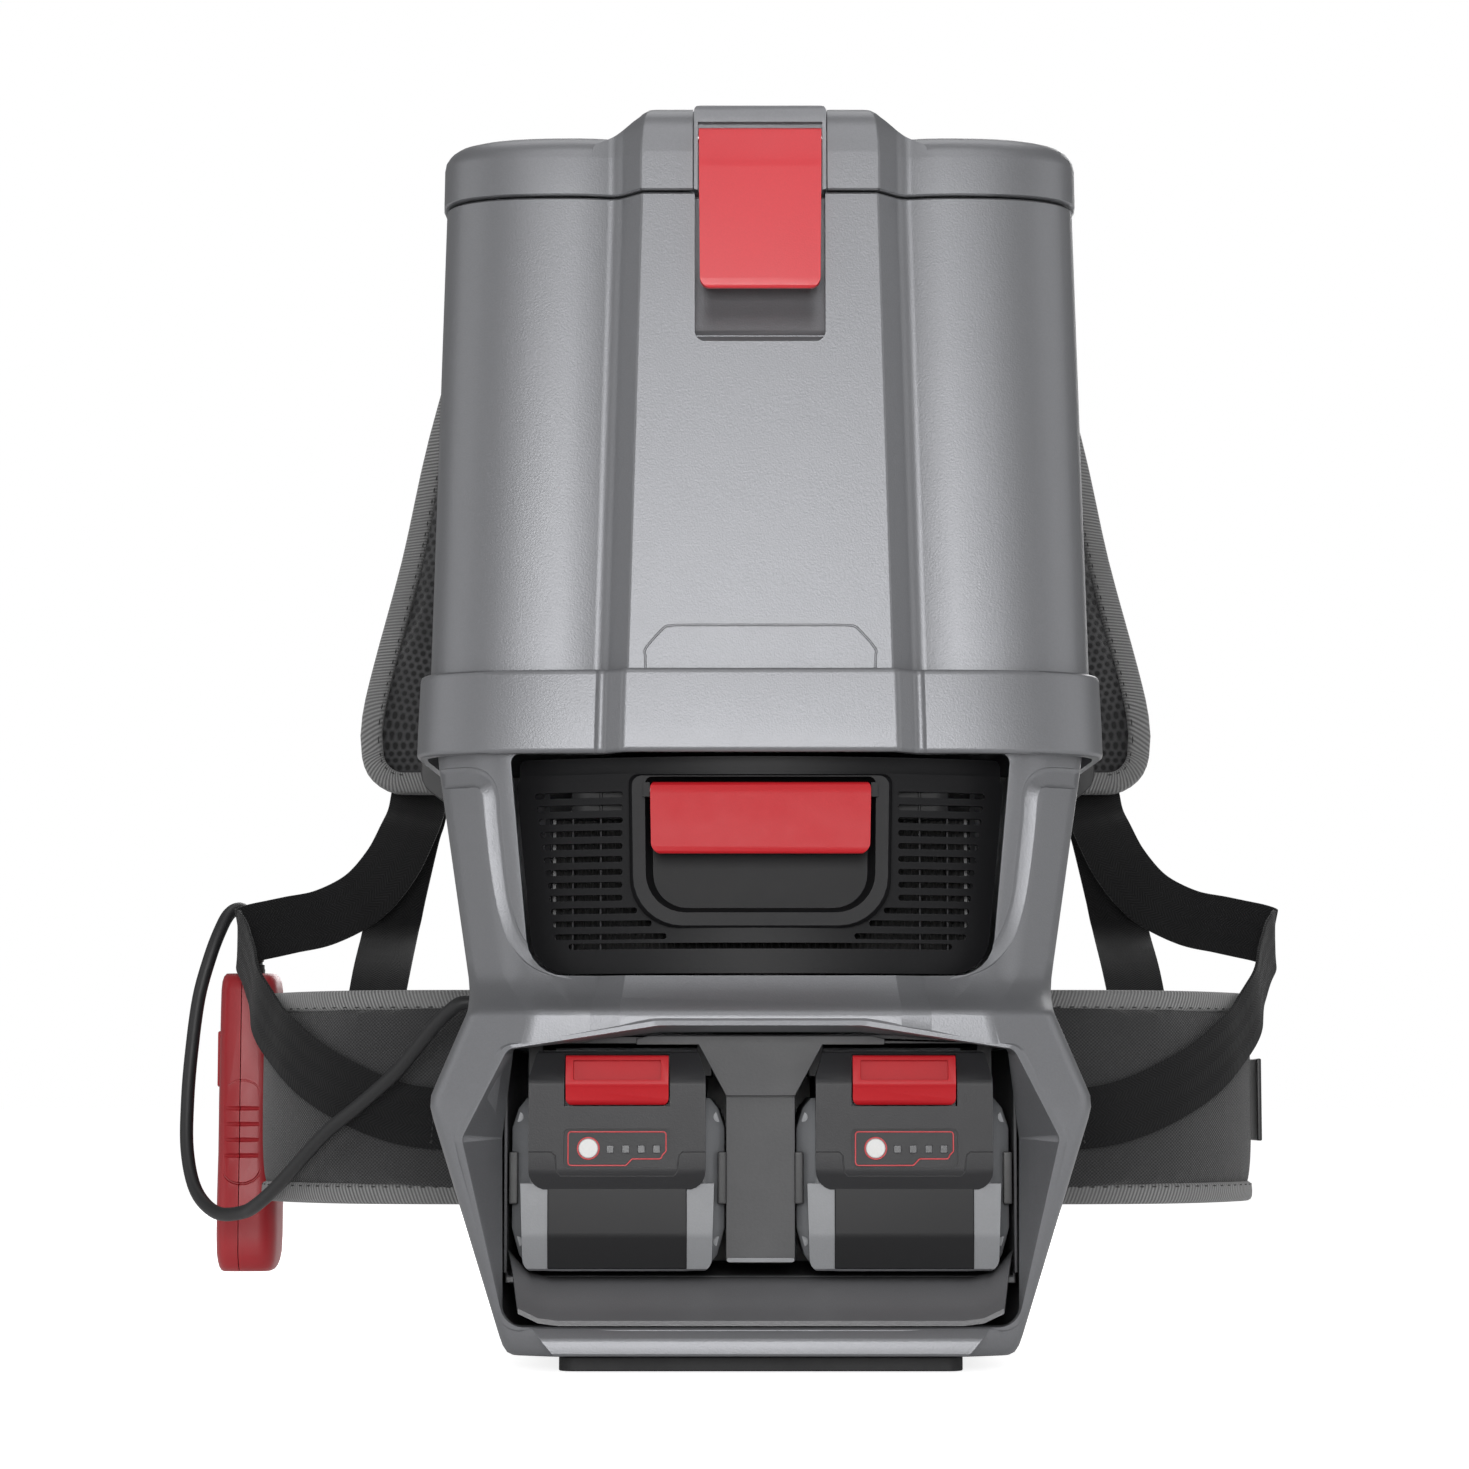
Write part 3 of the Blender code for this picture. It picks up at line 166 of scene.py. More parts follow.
def turned(profile, centre, axis):
    """A round skin from (radius, distance along) pairs about an axis."""
    rings = []
    for radius, d in profile:
        ring = [(centre[0] + radius * math.cos(t), centre[1] + radius * math.sin(t)) for t in turns(32)]
        rings.append([PLACES[axis](a, b, d) for a, b in ring])
    return loft(rings)


def loft(rings, closed=False):
    """A skin through rings of as many points each, capped unless it closes on itself."""
    bm = bmesh.new()
    rows = [[bm.verts.new(p) for p in ring] for ring in rings]
    following = rows[1:] + rows[:1] if closed else rows[1:]
    for row, after in zip(rows, following):
        for i in range(len(row)):
            j = (i + 1) % len(row)
            bm.faces.new((row[i], row[j], after[j], after[i]))
    if not closed:
        bm.faces.new(rows[0])
        bm.faces.new(rows[-1])
    return bm


def gather(*meshes):
    """Several meshes as one."""
    out = meshes[0]
    for bm in meshes[1:]:
        mesh = bpy.data.meshes.new("part")
        bm.to_mesh(mesh)
        bm.free()
        out.from_mesh(mesh)
        bpy.data.meshes.remove(mesh)
    return out


def mesh_object(name, bm):
    """An object in the scene with this mesh."""
    mesh = bpy.data.meshes.new(name)
    bm.to_mesh(mesh)
    bm.free()
    obj = bpy.data.objects.new(name, mesh)
    bpy.context.scene.collection.objects.link(obj)
    return obj


def scratch(bm):
    """An object for one job, deleted after it."""
    bmesh.ops.recalc_face_normals(bm, faces=bm.faces)
    return mesh_object("scratch", bm)


def csg(base, *steps):
    """base with each (sign, mesh) step taken away (-), joined (+) or kept in common (&)."""
    obj = scratch(base)
    tools = [obj]
    for sign, bm in steps:
        tools.append(scratch(bm))
        made = obj.modifiers.new("step", "BOOLEAN")
        made.operation = {"-": "DIFFERENCE", "+": "UNION", "&": "INTERSECT"}[sign]
        made.object = tools[-1]
    out = bmesh.new()
    out.from_object(obj, bpy.context.evaluated_depsgraph_get())
    for tool in tools:
        mesh = tool.data
        bpy.data.objects.remove(tool)
        bpy.data.meshes.remove(mesh)
    if not out.faces:
        raise SystemExit("an empty cut")
    bmesh.ops.remove_doubles(out, verts=out.verts, dist=2e-6)
    bmesh.ops.dissolve_limit(out, angle_limit=math.radians(0.4), verts=out.verts, edges=out.edges)
    return out


def soften(bm, width, segments=2):
    """Rounds the sharp edges."""
    bm.normal_update()
    sharp = math.radians(35)
    edges = [edge for edge in bm.edges if len(edge.link_faces) == 2 and edge.calc_face_angle(0) > sharp]
    bmesh.ops.bevel(
        bm, geom=edges, offset=width, segments=segments, profile=0.6, affect="EDGES", clamp_overlap=True
    )
    return bm


def carved(profile, half, face, reach=(-0.13, -0.09)):
    """A side profile, and the step for csg that cuts it to the outline of its face."""
    return prism(profile, -half, half, "x"), ("&", prism(face, *reach))


def placed(bm, at):
    bmesh.ops.translate(bm, vec=at, verts=bm.verts)
    return bm


def piece(name, bm, finish, body, *nodes, smooth_angle=38):
    """A finished mesh that moves with a body and may stand for CAD nodes."""
    bmesh.ops.recalc_face_normals(bm, faces=bm.faces)
    return dress(mesh_object(name, bm), finish, body, *nodes, smooth_angle=smooth_angle)


def dress(obj, finish, body, *nodes, smooth_angle=38):
    """Gives an object its finish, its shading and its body."""
    obj.data.materials.append(FINISHES[finish])
    if obj.type == "MESH":
        obj.data.polygons.foreach_set("use_smooth", [True] * len(obj.data.polygons))
        obj.data.set_sharp_from_angle(angle=math.radians(smooth_angle))
        made = obj.modifiers.new("normals", "WEIGHTED_NORMAL")
        made.keep_sharp = True
        made.weight = NORMAL_WEIGHT
    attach(obj, body)
    if nodes:
        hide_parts(*nodes)
    return obj


def break_edges(obj, width, segments, angle):
    edge = obj.modifiers.new("edges", "BEVEL")
    edge.width = width
    edge.segments = segments
    edge.limit_method = "ANGLE"
    edge.angle_limit = math.radians(angle)


def edged(name, bm, finish, body, *nodes, width=0.0006, segments=2, angle=36):
    """A piece whose sharp edges are broken by a modifier."""
    obj = piece(name, bm, finish, body, *nodes)
    break_edges(obj, width, segments, angle)
    obj.modifiers.move(obj.modifiers.find("edges"), 0)
    return obj


# ------------------------------------------------------------------ materials
FINISHES = {}
dict.fromkeys(("black", "led", "door", "cap", "led_black", "tray"), "black_plastic")
dict.fromkeys(("binding", "mesh", "belt"), "mesh_fabric")


class Tree:
    """A material's nodes, with its Principled shader ready."""

    def __init__(self, name, colour, roughness, **sockets):
        self.material = bpy.data.materials.new(name)
        self.material.use_nodes = True
        self.tree = self.material.node_tree
        self.shader = self.tree.nodes["Principled BSDF"]
        self.shader.inputs["Base Color"].default_value = (*colour, 1)
        self.shader.inputs["Roughness"].default_value = roughness
        for socket, value in sockets.items():
            self.shader.inputs[socket.replace("_", " ")].default_value = value
        self.spot = self.node("TexCoord").outputs["Object"]
        FINISHES[name] = self.material

    def node(self, kind, inputs=None, **props):
        made = self.tree.nodes.new("ShaderNode" + kind)
        for name, value in props.items():
            setattr(made, name, value)
        for name, value in (inputs or {}).items():
            if isinstance(value, bpy.types.NodeSocket):
                self.tree.links.new(value, made.inputs[name])
            else:
                made.inputs[name].default_value = value
        return made

    def noise(self, scale, detail=2.0, roughness=0.5):
        settings = {"Vector": self.spot, "Scale": scale, "Detail": detail, "Roughness": roughness}
        return self.node("TexNoise", settings).outputs[0]

    def math(self, operation, *values):
        return self.node("Math", dict(enumerate(values)), operation=operation).outputs[0]

    def ranged(self, value, low, high, to_low, to_high):
        names = ("Value", "From Min", "From Max", "To Min", "To Max")
        return self.node("MapRange", dict(zip(names, (value, low, high, to_low, to_high)))).outputs[0]

    def mix(self, factor, a, b):
        made = self.tree.nodes.new("ShaderNodeMix")
        made.data_type = "RGBA"
        for slot, value in (("Factor_Float", factor), ("A_Color", a), ("B_Color", b)):
            socket = next(s for s in made.inputs if s.identifier == slot)
            if isinstance(value, bpy.types.NodeSocket):
                self.tree.links.new(value, socket)
            else:
                socket.default_value = value if slot == "Factor_Float" else (*value, 1)
        return next(s for s in made.outputs if s.identifier == "Result_Color")

    def bump(self, height, strength, distance):
        return self.node("Bump", {"Height": height, "Strength": strength, "Distance": distance}).outputs[0]

    def set(self, socket, value):
        self.tree.links.new(value, self.shader.inputs[socket])


def shade(colour, by):
    return tuple(min(1.0, c * by) for c in colour)


def plastic(name, colour, roughness, grain=0.25, size=1500, edge_wear_and_highlight=0.25, spread=0.07, cloud=0.02, **sockets):
    """Moulded plastic: a fine spark-eroded grain, slow changes of tone, corners lightened partly by wear and
    partly as a painted edge highlight.
    """
    made = Tree(name, colour, roughness, **sockets)
    slow = made.noise(14, 4, 0.6)
    fine = made.noise(size, 2, 0.55)
    tone = made.ranged(slow, 0.3, 0.7, 0, 1)
    body = made.mix(tone, shade(colour, 1 - spread), shade(colour, 1 + spread))
    speck = made.mix(made.ranged(fine, 0.35, 0.65, 0, 1), shade(colour, 0.94), shade(colour, 1.06))
    body = made.mix(0.4, body, speck)
    # Lighter edges from an edge mask broken by noise: partly wear, partly a painted highlight where edges
    # catch light.
    if edge_wear_and_highlight:
        bent = made.node("Bevel", {"Radius": 0.0009}, samples=4).outputs[0]
        flat = made.node("NewGeometry").outputs["Normal"]
        both = made.node("VectorMath", {0: bent, 1: flat}, operation="DOT_PRODUCT")
        wear_and_highlight_breakup = made.ranged(made.noise(90, 3), 0.4, 0.6, 0.3, 1)
        edge = made.math("MULTIPLY", made.ranged(both.outputs["Value"], 0.995, 0.9, 0, edge_wear_and_highlight), wear_and_highlight_breakup)
        body = made.mix(edge, body, shade(colour, 1.9))
    made.set("Base Color", body)
    scuffs = made.ranged(made.noise(70, 5, 0.7), 0.35, 0.75, roughness - cloud, roughness + 2 * cloud)
    made.set("Roughness", scuffs)
    made.set("Normal", made.bump(fine, grain, 0.00012))


plastic(
    "grey", (0.2, 0.203, 0.214), 0.41, grain=0.6, size=1300, spread=0.015, edge_wear_and_highlight=0.15, cloud=0.003,
    Metallic=0.55,
)
plastic("shell", (0.2, 0.205, 0.215), 0.42, grain=0.3, edge_wear_and_highlight=0.15, Metallic=0.1)
plastic("dark", (0.072, 0.072, 0.075), 0.55, grain=0.6, size=900)
plastic("black", (0.013, 0.013, 0.014), 0.42, grain=0.3, edge_wear_and_highlight=0.35)
plastic("tab", (0.46, 0.009, 0.015), 0.42, grain=0.25, edge_wear_and_highlight=0.1, spread=0.04, Specular_IOR_Level=0.25)
plastic("red", (0.56, 0.02, 0.03), 0.36, grain=0.25, edge_wear_and_highlight=0.12, spread=0.04)
plastic("rubber", (0.013, 0.013, 0.014), 0.62, grain=0.5, size=700, edge_wear_and_highlight=0.3)
plastic("cord", (0.014, 0.014, 0.015), 0.5, grain=0.25, size=900, edge_wear_and_highlight=0.0)
plastic("led", (0.035, 0.036, 0.04), 0.25, grain=0.05, edge_wear_and_highlight=0)
plastic("white", (0.62, 0.62, 0.61), 0.35, grain=0.1, edge_wear_and_highlight=0)
plastic("steel", (0.56, 0.56, 0.57), 0.3, grain=0.2, edge_wear_and_highlight=0.1, Metallic=1.0)
plastic("pleats", (0.1, 0.1, 0.1), 0.9, grain=0.6, size=700, edge_wear_and_highlight=0)
plastic("thread", (0.03, 0.03, 0.03), 0.8, grain=0.5, size=2500, edge_wear_and_highlight=0)
plastic("bag", (0.62, 0.56, 0.45), 0.9, grain=0.9, size=900, edge_wear_and_highlight=0)
plastic("media", (0.75, 0.75, 0.72), 0.9, grain=0.9, size=900, edge_wear_and_highlight=0)
plastic("board", (0.02, 0.12, 0.05), 0.4, grain=0.3, size=400, edge_wear_and_highlight=0)
plastic("wrap", (0.05, 0.16, 0.26), 0.35, grain=0.1, edge_wear_and_highlight=0)


def fabric(name, colour, pitch, kind, depth, light, sheen=0.25):
    """Cloth woven in metres of its UV map: u runs along the piece and v across it."""
    made = Tree(name, colour, 0.85, Sheen_Weight=sheen, Sheen_Roughness=0.5, Specular_IOR_Level=0.25)
    uv = made.node("TexCoord").outputs["UV"]
    parts = made.node("SeparateXYZ", {0: uv})
    u, v = parts.outputs[0], parts.outputs[1]
    turn = math.tau / pitch

    def wave(a, b):
        along = made.math("MULTIPLY", u, a * turn)
        return made.math("COSINE", made.math("ADD", along, made.math("MULTIPLY", v, b * turn)))

    if kind == "hex":
        height = made.math("ADD", made.math("ADD", wave(1, 0), wave(-0.5, 0.866)), wave(-0.5, -0.866))
        height = made.ranged(height, -1.5, 1.2, 1, 0)
    elif kind == "herringbone":
        fold = made.math("PINGPONG", v, pitch * 2.5)
        both = made.math("ADD", made.math("MULTIPLY", u, turn), made.math("MULTIPLY", fold, turn))
        height = made.ranged(made.math("COSINE", both), -1, 1, 0, 1)
    elif kind == "plain":
        height = made.ranged(made.math("MULTIPLY", wave(1, 0), wave(0, 1)), -1, 1, 0, 1)
    else:
        height = made.ranged(wave(1, 0.35), -1, 1, 0, 1)
    fuzz = made.noise(2600, 3, 0.7)
    weave = made.math("MULTIPLY", height, made.ranged(fuzz, 0.3, 0.7, 0.6, 1.15))
    cloth = made.mix(weave, shade(colour, 0.45), shade(colour, light))
    slow = made.ranged(made.noise(22, 4, 0.6), 0.35, 0.65, 0, 1)
    made.set("Base Color", made.mix(slow, cloth, made.mix(0.5, cloth, shade(colour, 0.8))))
    made.set("Roughness", made.ranged(fuzz, 0.3, 0.7, 0.75, 0.93))
    made.set("Normal", made.bump(made.math("ADD", height, made.math("MULTIPLY", fuzz, 0.5)), 0.7, depth))


fabric("webbing", (0.0075, 0.0075, 0.008), 0.0017, kind="herringbone", depth=0.0002, light=2.0, sheen=0.08)
fabric("binding", (0.21, 0.21, 0.21), 0.0016, kind="twill", depth=0.0003, light=1.5)
fabric("mesh", (0.03, 0.03, 0.031), 0.0036, kind="hex", depth=0.0006, light=2.6)
fabric("belt", (0.036, 0.036, 0.037), 0.0016, kind="plain", depth=0.0004, light=2.0)

make_camera()

# ------------------------------------------------------------------ the cord, first
CORD_DIAMETER = 0.0064
CORD = [
    (-0.1246, 0.042, 0.15), (-0.1275, 0.042, 0.15), (-0.133, 0.0424, 0.1487),
    (-0.142, 0.047, 0.141), (-0.151, 0.055, 0.131), (-0.1623, 0.066, 0.1188),
    (-0.179, 0.079, 0.105), (-0.1964, 0.09, 0.0914), (-0.2176, 0.113, 0.0703),
    (-0.23, 0.129, 0.06), (-0.2396, 0.142, 0.055), (-0.2535, 0.155, 0.0545),
    (-0.265, 0.168, 0.0643), (-0.2708, 0.177, 0.0832), (-0.2718, 0.183, 0.1072),
    (-0.2705, 0.1855, 0.131), (-0.2675, 0.186, 0.156), (-0.2627, 0.1872, 0.175),
    (-0.2585, 0.1905, 0.188), (-0.2548, 0.1962, 0.1966), (-0.2505, 0.2032, 0.1993),
    (-0.247, 0.2094, 0.196), (-0.2455, 0.2122, 0.189), (-0.2454, 0.2125, 0.1852),
]


def make_cord():
    curve = bpy.data.curves.new("cord_sheath", "CURVE")
    curve.dimensions = "3D"
    curve.bevel_depth = CORD_DIAMETER / 2
    curve.bevel_resolution = 6
    curve.use_fill_caps = True
    points = smooth(CORD, 6)
    line = curve.splines.new("POLY")
    line.points.add(len(points) - 1)
    for spot, point in zip(line.points, points):
        spot.co = (*point, 1)
    line.use_smooth = True
    obj = bpy.data.objects.new("cord_sheath", curve)
    bpy.context.scene.collection.objects.link(obj)
    dress(obj, "cord", "machine", "remote_cord")


make_cord()


# ------------------------------------------------------------------ the machine's shells
GAP = 0.0004
FRONT = -0.118
BACK = 0.075
HOUSING_TOP = 0.252
BAND_Z = (0.247, 0.281)
SEAM_Z = 0.479
LID_TOP = 0.506
DOOR_PIVOT = (0, -0.1, 0.158)
TAB_PIVOT = (0, -0.1035, 0.232)
LATCH_PIVOT = (0, -0.1018, 0.5015)
HINGE_PIVOT = (0, 0.0815, 0.477)
PORT_Y = 0.012
PIN_BORE = 0.0012
HINGE_BORE = 0.0024
# height, half width, half width of the middle panel, front, step back of the lobes, how soft they are
POD = [
    (0.006, 0.0995, 0.056, -0.113, 0.0006, 0), (0.0072, 0.1015, 0.056, -0.1155, 0.0006, 0),
    (0.01, 0.1032, 0.056, -0.1172, 0.0006, 0), (0.014, 0.1046, 0.056, FRONT, 0.0006, 0),
    (0.1, 0.1317, 0.056, FRONT, 0.0006, 0), (0.1045, 0.1328, 0.056, FRONT, 0.0006, 0),
    (0.109, 0.1325, 0.056, FRONT, 0.0006, 0), (0.114, 0.1305, 0.056, FRONT, 0.0006, 0),
    (0.1405, 0.119, 0.056, FRONT, 0.0006, 0), (0.142, 0.1184, 0.056, -0.1176, 0.0007, 0),
    (0.1432, 0.1182, 0.056, -0.1166, 0.0009, 0.02), (0.145, 0.1182, 0.056, -0.1143, 0.0012, 0.08),
    (0.148, 0.1185, 0.0555, -0.1103, 0.0022, 0.2), (0.152, 0.119, 0.055, -0.1064, 0.0034, 0.35),
    (0.157, 0.1199, 0.0545, -0.1035, 0.0045, 0.5), (0.164, 0.1212, 0.054, -0.1022, 0.0052, 0.6),
    (0.2425, 0.1329, 0.054, -0.1038, 0.0069, 0.6), (HOUSING_TOP, 0.134, 0.054, -0.107, 0.0092, 0.6),
]
CAN = [
    (HOUSING_TOP + GAP, 0.1375, 0.0545, -0.108, 0.01, 1),
    (SEAM_Z - GAP, 0.1318, 0.0485, -0.103, 0.01, 1),
]


def between(rows, z):
    """A row's numbers at a height."""
    for (low, *first), (high, *last) in zip(rows, rows[1:]):
        if z <= high:
            share = max(0.0, (z - low) / (high - low))
            return [a + (b - a) * share for a, b in zip(first, last)]
    return rows[-1][1:]


def lobe_curve(x, wide, y, back_by):
    """A lobe's curve from its crest round to the straight flank."""
    shares = (0.14, 0.28, 0.42, 0.55, 0.66, 0.76, 0.84, 0.9, 0.95, 0.985, 1)
    return [(x + (wide - x) * u, y + back_by * (1 - (1 - u ** 2.75) ** (1 / 2.75)), 0) for u in shares]


def section(half, panel, front, step, soft, inset=0.0):
    """The plan outline: a middle panel, a valley beside it, a pillowed lobe, round corners."""
    edge = front + inset
    wide = half - inset
    side = edge + step
    middle = (panel + wide) / 2 + 0.004
    corner = (wide - 0.004, BACK - inset, 0.018)
    if soft == 1:
        valley, crest = panel + 0.0105, panel + 0.03 - inset / 2
        outline = [(panel - inset / 2, edge, 0.0015), (valley, side + 0.002, 0.007)]
        for t in (0.3, 0.65, 1):
            rise = 0.0028 * math.sin(t * math.pi / 2)
            outline.append((valley + (crest - valley) * t, side + 0.002 - rise, 0))
        return symmetric([*outline, *lobe_curve(crest, wide, side - 0.0008, 0.0348), corner], 8)
    crisp = [
        (panel, edge, 0.002), (panel + 0.012, side, 0.004), (panel + 0.018, side + 0.0001, 0.01),
        (middle, side + 0.0004, 0.02), (wide, side + 0.01, 0.008), corner,
    ]
    pillow = [
        (panel - inset / 2, edge, 0.0015), (panel + 0.0105, side + 0.002, 0.007),
        (panel + 0.04 - max(inset, 0) * 0.9, side - 0.0008, 0.05), (wide - 0.013, side + 0.0045, 0.03),
        (wide, side + 0.034, 0.02), corner,
    ]
    half_outline = [tuple(p + (q - p) * soft for p, q in zip(a, b)) for a, b in zip(crisp, pillow)]
    return symmetric(half_outline, 8)


def level(z, *sizes, inset=0.0):
    """The plan outline at a height."""
    return [(x, y, z) for x, y in section(*sizes, inset=inset)]


def front_at(x, z, rows=POD):
    """How far forward the skin is at a place on its front."""
    line = sorted((px, py) for px, py in section(*between(rows, z)) if py < -0.05)
    for (x1, y1), (x2, y2) in zip(line, line[1:]):
        if x1 <= x <= x2 and x2 > x1:
            return y1 + (y2 - y1) * (x - x1) / (x2 - x1)
    return line[0][1] if x < line[0][0] else line[-1][1]


def ribbon_tube(path, wide, deep, sides=12, closed=False):
    """A tube of oval section along (x, y, z) points, wide across the path and deep along Y."""
    rings = []
    points = [Vector(p) for p in path]
    for i, point in enumerate(points):
        across = heading(points, i, closed).cross(Vector((0, 1, 0))).normalized()
        oval = [(wide * math.cos(t), deep * math.sin(t)) for t in turns(sides)]
        rings.append([point + across * a + Vector((0, b, 0)) for a, b in oval])
    return loft(rings, closed=closed)


BAY_RIM = mirrored([
    (0.04, 0.1362, 0.02), (0.1002, 0.1272, 0.005), (0.1185, 0.092, 0.005), (0.1012, 0.018, 0.009),
])
BAY_THROAT = mirrored([
    (0.04, 0.1345, 0.02), (0.0995, 0.129, 0.004), (0.104, 0.092, 0.004), (0.1034, 0.0176, 0.007),
])


def grown(corners, by, middle=0.078, fuller=0.5):
    """An outline's corners moved away from its middle height, with fuller corners."""
    made = []
    for x, z, radius in corners:
        away = (Vector((x, z)) - Vector((0, middle))).normalized() * by
        made.append((x + away.x, z + away.y, radius + by * fuller))
    return made


def bay_frame():
    """The frame of the battery bay: its throat, its rim and the raised bead round it."""
    rings = [[(x, front_at(x, z) + 0.0006, z) for x, z in rounded(BAY_RIM)]]
    for corners in (BAY_THROAT, grown(BAY_THROAT, 0.0028)):
        rings.append([(x, -0.097, z) for x, z in rounded(corners)])
    for by, back_by in ((0.0042, 0.0045), (0.0042, -0.0003), (0.003, -0.0011), (0.0008, -0.0009)):
        rings.append([(x, front_at(x, z) + back_by, z) for x, z in rounded(grown(BAY_RIM, by))])
    return loft(rings, closed=True)


DOOR_OUTLINE = [(0.101, 0.2405, 0.004), (0.0925, 0.158, 0.016)]


def side_groove(side):
    """The L-shaped groove beside the filter door, fading out on the shelf under it."""
    spots = [
        (0.142, 0.2385, 1), (0.125, 0.2388, 1), (0.115, 0.2375, 1), (0.1108, 0.232, 1), (0.1095, 0.22, 1),
    ]
    spots += [(0.1078, 0.205, 1), (0.1052, 0.188, 0.9), (0.1005, 0.174, 0.8), (0.0925, 0.164, 0.65)]
    spots += [(0.083, 0.1585, 0.4), (0.076, 0.156, 0.1)]
    path = smooth(spots, 4)
    line = [Vector((x, z)) for x, z, _ in path]
    rings = []
    for i, (x, z, size) in enumerate(path):
        ahead = heading(line, i)
        across = Vector((-ahead.y, ahead.x)).normalized()
        y = front_at(min(x, 0.1315), z)
        ring = []
        for turn in turns(14):
            a, b = squared(turn, 0.5, 0.7)
            reach, deep = a * 0.0044 * size, b * 0.0026 * size
            ring.append((side * (x + across.x * reach), y - 0.0004 + deep, z + across.y * reach))
        rings.append(ring)
    return loft(rings)


def bumper():
    """The raised middle of the front lip, with slanted ends."""
    profile = [(-0.116, 0.0068), (-0.1216, 0.007), (-0.1222, 0.0078), (-0.1222, 0.0124), (-0.1212, 0.014)]
    profile += [(-0.1172, 0.0172), (-0.1145, 0.015)]
    rings = [[(x * (0.0815 + (z - 0.0068) * 0.85), y, z) for y, z in profile] for x in (-1, 1)]
    return loft(rings)


def housing():
    """The motor housing: a hollow skin with the bay, the door's opening, the bumper and the grooves."""
    rows = [level(z, *rest) for z, *rest in POD]
    inner = [level(z if i else z + 0.003, *rest, inset=0.003) for i, (z, *rest) in enumerate(POD[:-1])]
    inner.append(level(HOUSING_TOP + 0.01, *POD[-1][1:], inset=0.003))
    # The opening and rebate reach up under the band, where the door's black flange paints the band's shadow
    # on the housing.
    opening = [(x + 0.0009, z + (0.0072 if z > 0.2 else -0.0009), r) for x, z, r in DOOR_OUTLINE]
    rebate = [(x + 0.0022, z + (0.008 if z > 0.2 else -0.0007), r) for x, z, r in DOOR_OUTLINE]
    rear = rounded([
        (0.085, 0.15, 0.003), (0.085, 0.236, 0.003), (-0.085, 0.236, 0.003), (-0.085, 0.15, 0.003),
    ])
    bm = csg(
        loft(rows),
        ("-", loft(inner)),
        ("-", prism(rounded(grown(BAY_RIM, 0.0022)), FRONT - 0.02, -0.1)),
        ("+", bay_frame()),
        ("-", prism(symmetric(opening), -0.13, -0.055)),
        ("-", prism(symmetric(rebate), -0.13, -0.1018)),
        ("-", prism(rear, 0.06, 0.09)),
        ("+", bumper()),
        ("-", cylinder((-0.1205, 0.042, 0.15), 0.0052, 0.02, "x", 24)),
        ("-", side_groove(1)),
        ("-", side_groove(-1)),
    )
    edged("housing_shell", bm, "grey", "machine", "main_housing")


def can_level(z, inset=0.0):
    return level(z, *between(CAN, z), inset=inset)


def knuckle_outline(wall, down):
    """A hinge eye with its web to the shell, in (y, z)."""
    y, z = HINGE_PIVOT[1:]
    arc = [math.radians(-90 + 11.25 * k) for k in range(17)]
    eye = [(y + 0.0046 * math.cos(t), z + 0.0046 * math.sin(t)) for t in arc]
    if down:
        return eye + [(wall, z + 0.0008), (wall, z - 0.018)]
    web = [(y + 0.0046, z + 0.01), (wall, z + 0.014), (wall, z + 0.0032), (y - 0.004, z + 0.003)]
    return [(y - 0.004, z - 0.0023)] + eye[1:] + web


def knuckles(inner, outer, wall, down):
    """The steps that add a hinge eye on each side, and bore both."""
    steps = []
    for side in SIDES.values():
        low, high = sorted((side * inner, side * outer))
        steps.append(("+", prism(knuckle_outline(wall, down), low, high, "x")))
    return steps + [("-", cylinder(HINGE_PIVOT, HINGE_BORE, 0.13, "x", 24))]


def canister():
    """The canister: its skin, the pocket behind the latch, the port in its floor and the badge's outline."""
    low, high = CAN[0][0], CAN[1][0]
    outer = [(low, 0.0006), (low + 0.0006, 0)] + [(low + (high - low) * k / 8, 0) for k in range(1, 8)]
    outer += [(high - 0.0008, 0), (high, 0.0008)]
    pocket = [(-0.12, 0.416), (-0.1045, 0.416), (-0.0985, 0.422), (-0.0935, 0.436), (-0.0915, 0.45)]
    pocket += [(-0.0915, 0.493), (-0.12, 0.493)]
    mouth = rounded([
        (0.0268, 0.416, 0.0045), (0.0268, 0.5, 0.001), (-0.0268, 0.5, 0.001), (-0.0268, 0.416, 0.0045),
    ])
    steps = [
        ("-", loft([can_level(low + 0.0035, 0.0025), can_level(SEAM_Z + 0.01, 0.0025)])),
        ("+", box((-0.031, -0.1015, 0.411), (0.031, -0.086, SEAM_Z - GAP))),
        ("-", csg(*carved(pocket, 0.0268, mouth, (-0.13, -0.08)))),
        ("-", cylinder((0, 0.005, 0.25), 0.04, 0.05, sides=48)),
        *knuckles(0.046, 0.06, 0.073, True),
    ]
    bm = csg(loft([can_level(z, i) for z, i in outer]), *steps)
    edged("canister_shell", bm, "grey", "machine", "canister")
    bend = [
        (0.0466, 0.28), (0.0466, 0.286), (0.0464, 0.2893), (0.04, 0.2968), (0.037, 0.2985), (0.03, 0.2988),
    ]
    corner = smooth(bend, 5)
    whole = corner + [(0.0, 0.2988)] + [(-x, z) for x, z in reversed(corner)]
    path = [(x, front_at(x, z, CAN) + 0.0001, z) for x, z in whole]
    piece("badge_outline", ribbon_tube(path, 0.00055, 0.0006), "grey", "machine")


